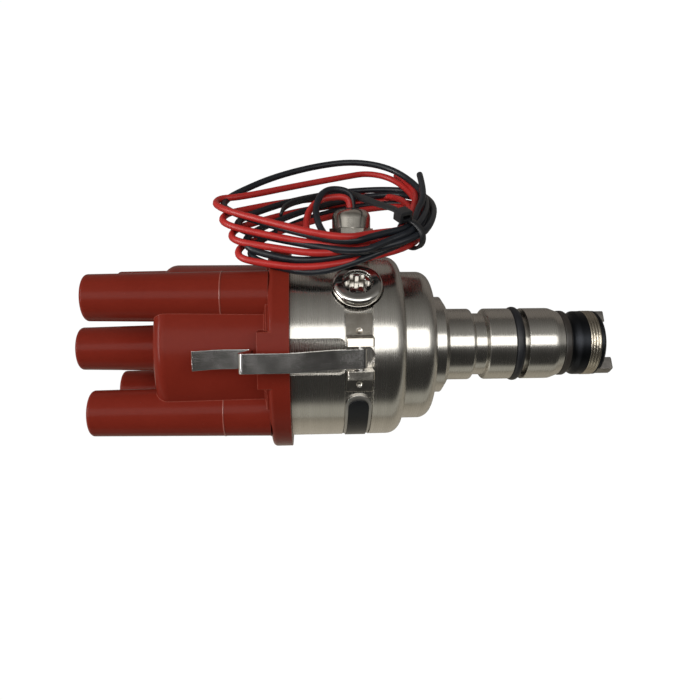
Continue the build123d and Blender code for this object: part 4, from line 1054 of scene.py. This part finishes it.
# %% Insulation
def insulation(name, main, second, rough):
    """Extruded soft PVC."""
    tree, principled = shader(
        name, {"Metallic": 0.0, "IOR": 1.5, "Specular IOR Level": 0.4}
    )
    patch = use(tree, slow_variation, Patch_Size=7.0)["Value"]
    dust = use(tree, dust_specks, Spacing=2.0, Speck_Size=0.08, Share=0.35)["Mask"]
    colour = tones(tree, patch, main, second)
    colour = tones(tree, maths(tree, "MULTIPLY", dust, 0.35), colour, (0.5, 0.47, 0.44))
    ripple = node(
        tree, "ShaderNodeTexNoise",
        {"Vector": millimetres(tree), "Scale": 0.6, "Detail": 2.0},
    ).outputs["Fac"]
    plug(
        tree, principled, Base_Color=colour, Normal=bump(tree, ripple, 0.06),
        Roughness=spread(tree, patch, 0, 1, rough - 0.04, rough + 0.06),
    )
    return tree, principled


insulation("red_insulation", (0.40, 0.018, 0.016), (0.48, 0.026, 0.022), 0.36)
insulation("black_insulation", (0.010, 0.012, 0.016), (0.016, 0.019, 0.025), 0.34)

tree, principled = shader("mixed_insulation", {"Metallic": 0.0, "IOR": 1.5})
strands = node(
    tree, "ShaderNodeTexNoise", {"Vector": millimetres(tree), "Scale": 0.35, "Detail": 1.0}
).outputs["Fac"]
patch = use(tree, slow_variation, Patch_Size=6.0)["Value"]
colour = tones(tree, spread(tree, strands, 0.49, 0.51), (0.016, 0.016, 0.018), (0.42, 0.02, 0.018))
plug(
    tree, principled, Base_Color=colour, Roughness=spread(tree, patch, 0, 1, 0.32, 0.44),
    Normal=bump(tree, strands, 0.1),
)

# %% [markdown]
# ## Circuit board and its parts
# The board sits under the dust cover. Its lacquer is green where bare and lighter over the
# copper tracks, which run in straight steps. A brick pattern with wide gaps gives such steps.
# The black parts on it are moulded and the curve switch has a knob in red.

# %% Circuit board
tree, principled = shader(
    "circuit_board", {"Metallic": 0.0, "IOR": 1.5, "Coat Weight": 0.4, "Coat Roughness": 0.15}
)
tracks = node(
    tree, "ShaderNodeTexBrick",
    {
        "Vector": millimetres(tree), "Scale": 1.0, "Mortar Size": 0.22, "Mortar Smooth": 0.1,
        "Brick Width": 5.2, "Row Height": 1.9,
    },
).outputs["Fac"]
patch = use(tree, slow_variation, Patch_Size=4.0)["Value"]
edge = use(tree, eased_edges, Radius=0.15)
bare = tones(tree, patch, (0.010, 0.070, 0.028), (0.016, 0.095, 0.036))
colour = tones(tree, tracks, bare, (0.035, 0.19, 0.070))
plug(
    tree, principled, Base_Color=colour, Roughness=spread(tree, patch, 0, 1, 0.3, 0.42),
    Normal=bump(tree, tracks, 0.03, edge["Normal"]),
)
print("finishes:", len(materials))

# %% [markdown]
# ## Which piece wears which finish
# One table pairs each node with its finish. A node that a richer piece replaces gets one all the
# same, because it is still what the solid model shows.

# %% Wear the finishes
finish_of = {
    "turned_aluminium": "housing",
    "ground_steel": "main_shaft board_screws",
    "ground_pin": "cross_pin front_clip_pin rear_clip_pin",
    "sintered_steel": "drive_dog magnets",
    "black_oxide": "drive_coupling",
    "spring_wire": "retaining_spring brush_spring shaft_circlip",
    "sintered_bronze": "upper_bush lower_bush thrust_washer",
    "drawn_brass": "side_terminal_1 side_terminal_2 side_terminal_3 side_terminal_4 "
                   "centre_terminal rotor_blade",
    "brick_red_moulding": "distributor_cap",
    "ridge_painted_highlight": "witness_line_1 witness_line_2 witness_line_3 witness_line_4",
    "rotor_brown": "rotor_arm",
    "black_nylon": "magnet_wheel hall_sensors coil_driver capacitors curve_switch dust_cover "
                   "cable_tie tie_strap tie_head tie_tail",
    "black_rubber": "shank_seal plug_seal gland_seal",
    "dark_fibre": "drive_washer",
    "pressed_carbon": "carbon_brush",
    "blank_black_label": "type_label",
    "plate_grey": "type_plate",
    "clip_steel": "front_clip rear_clip",
    "bright_nickel": "front_ear_lower rear_ear_lower",
    "gland_nickel": "gland_body gland_nut",
    "ear_nickel": "front_ear_upper rear_ear_upper",
    "chrome": "switch_plug",
    "red_insulation": "red_lead red_wire switch_knob",
    "black_insulation": "black_lead black_wire",
    "mixed_insulation": "lead_coil",
    "circuit_board": "circuit_board",
}
dressed = set()
for finish, wearers in finish_of.items():
    for wearer in wearers.split():
        piece = bpy.data.objects[wearer]
        piece.data.materials.clear()
        piece.data.materials.append(materials[finish])
        dressed.add(wearer)
print("dressed:", len(dressed), "pieces; bare:", sorted(set(nodes) - dressed))
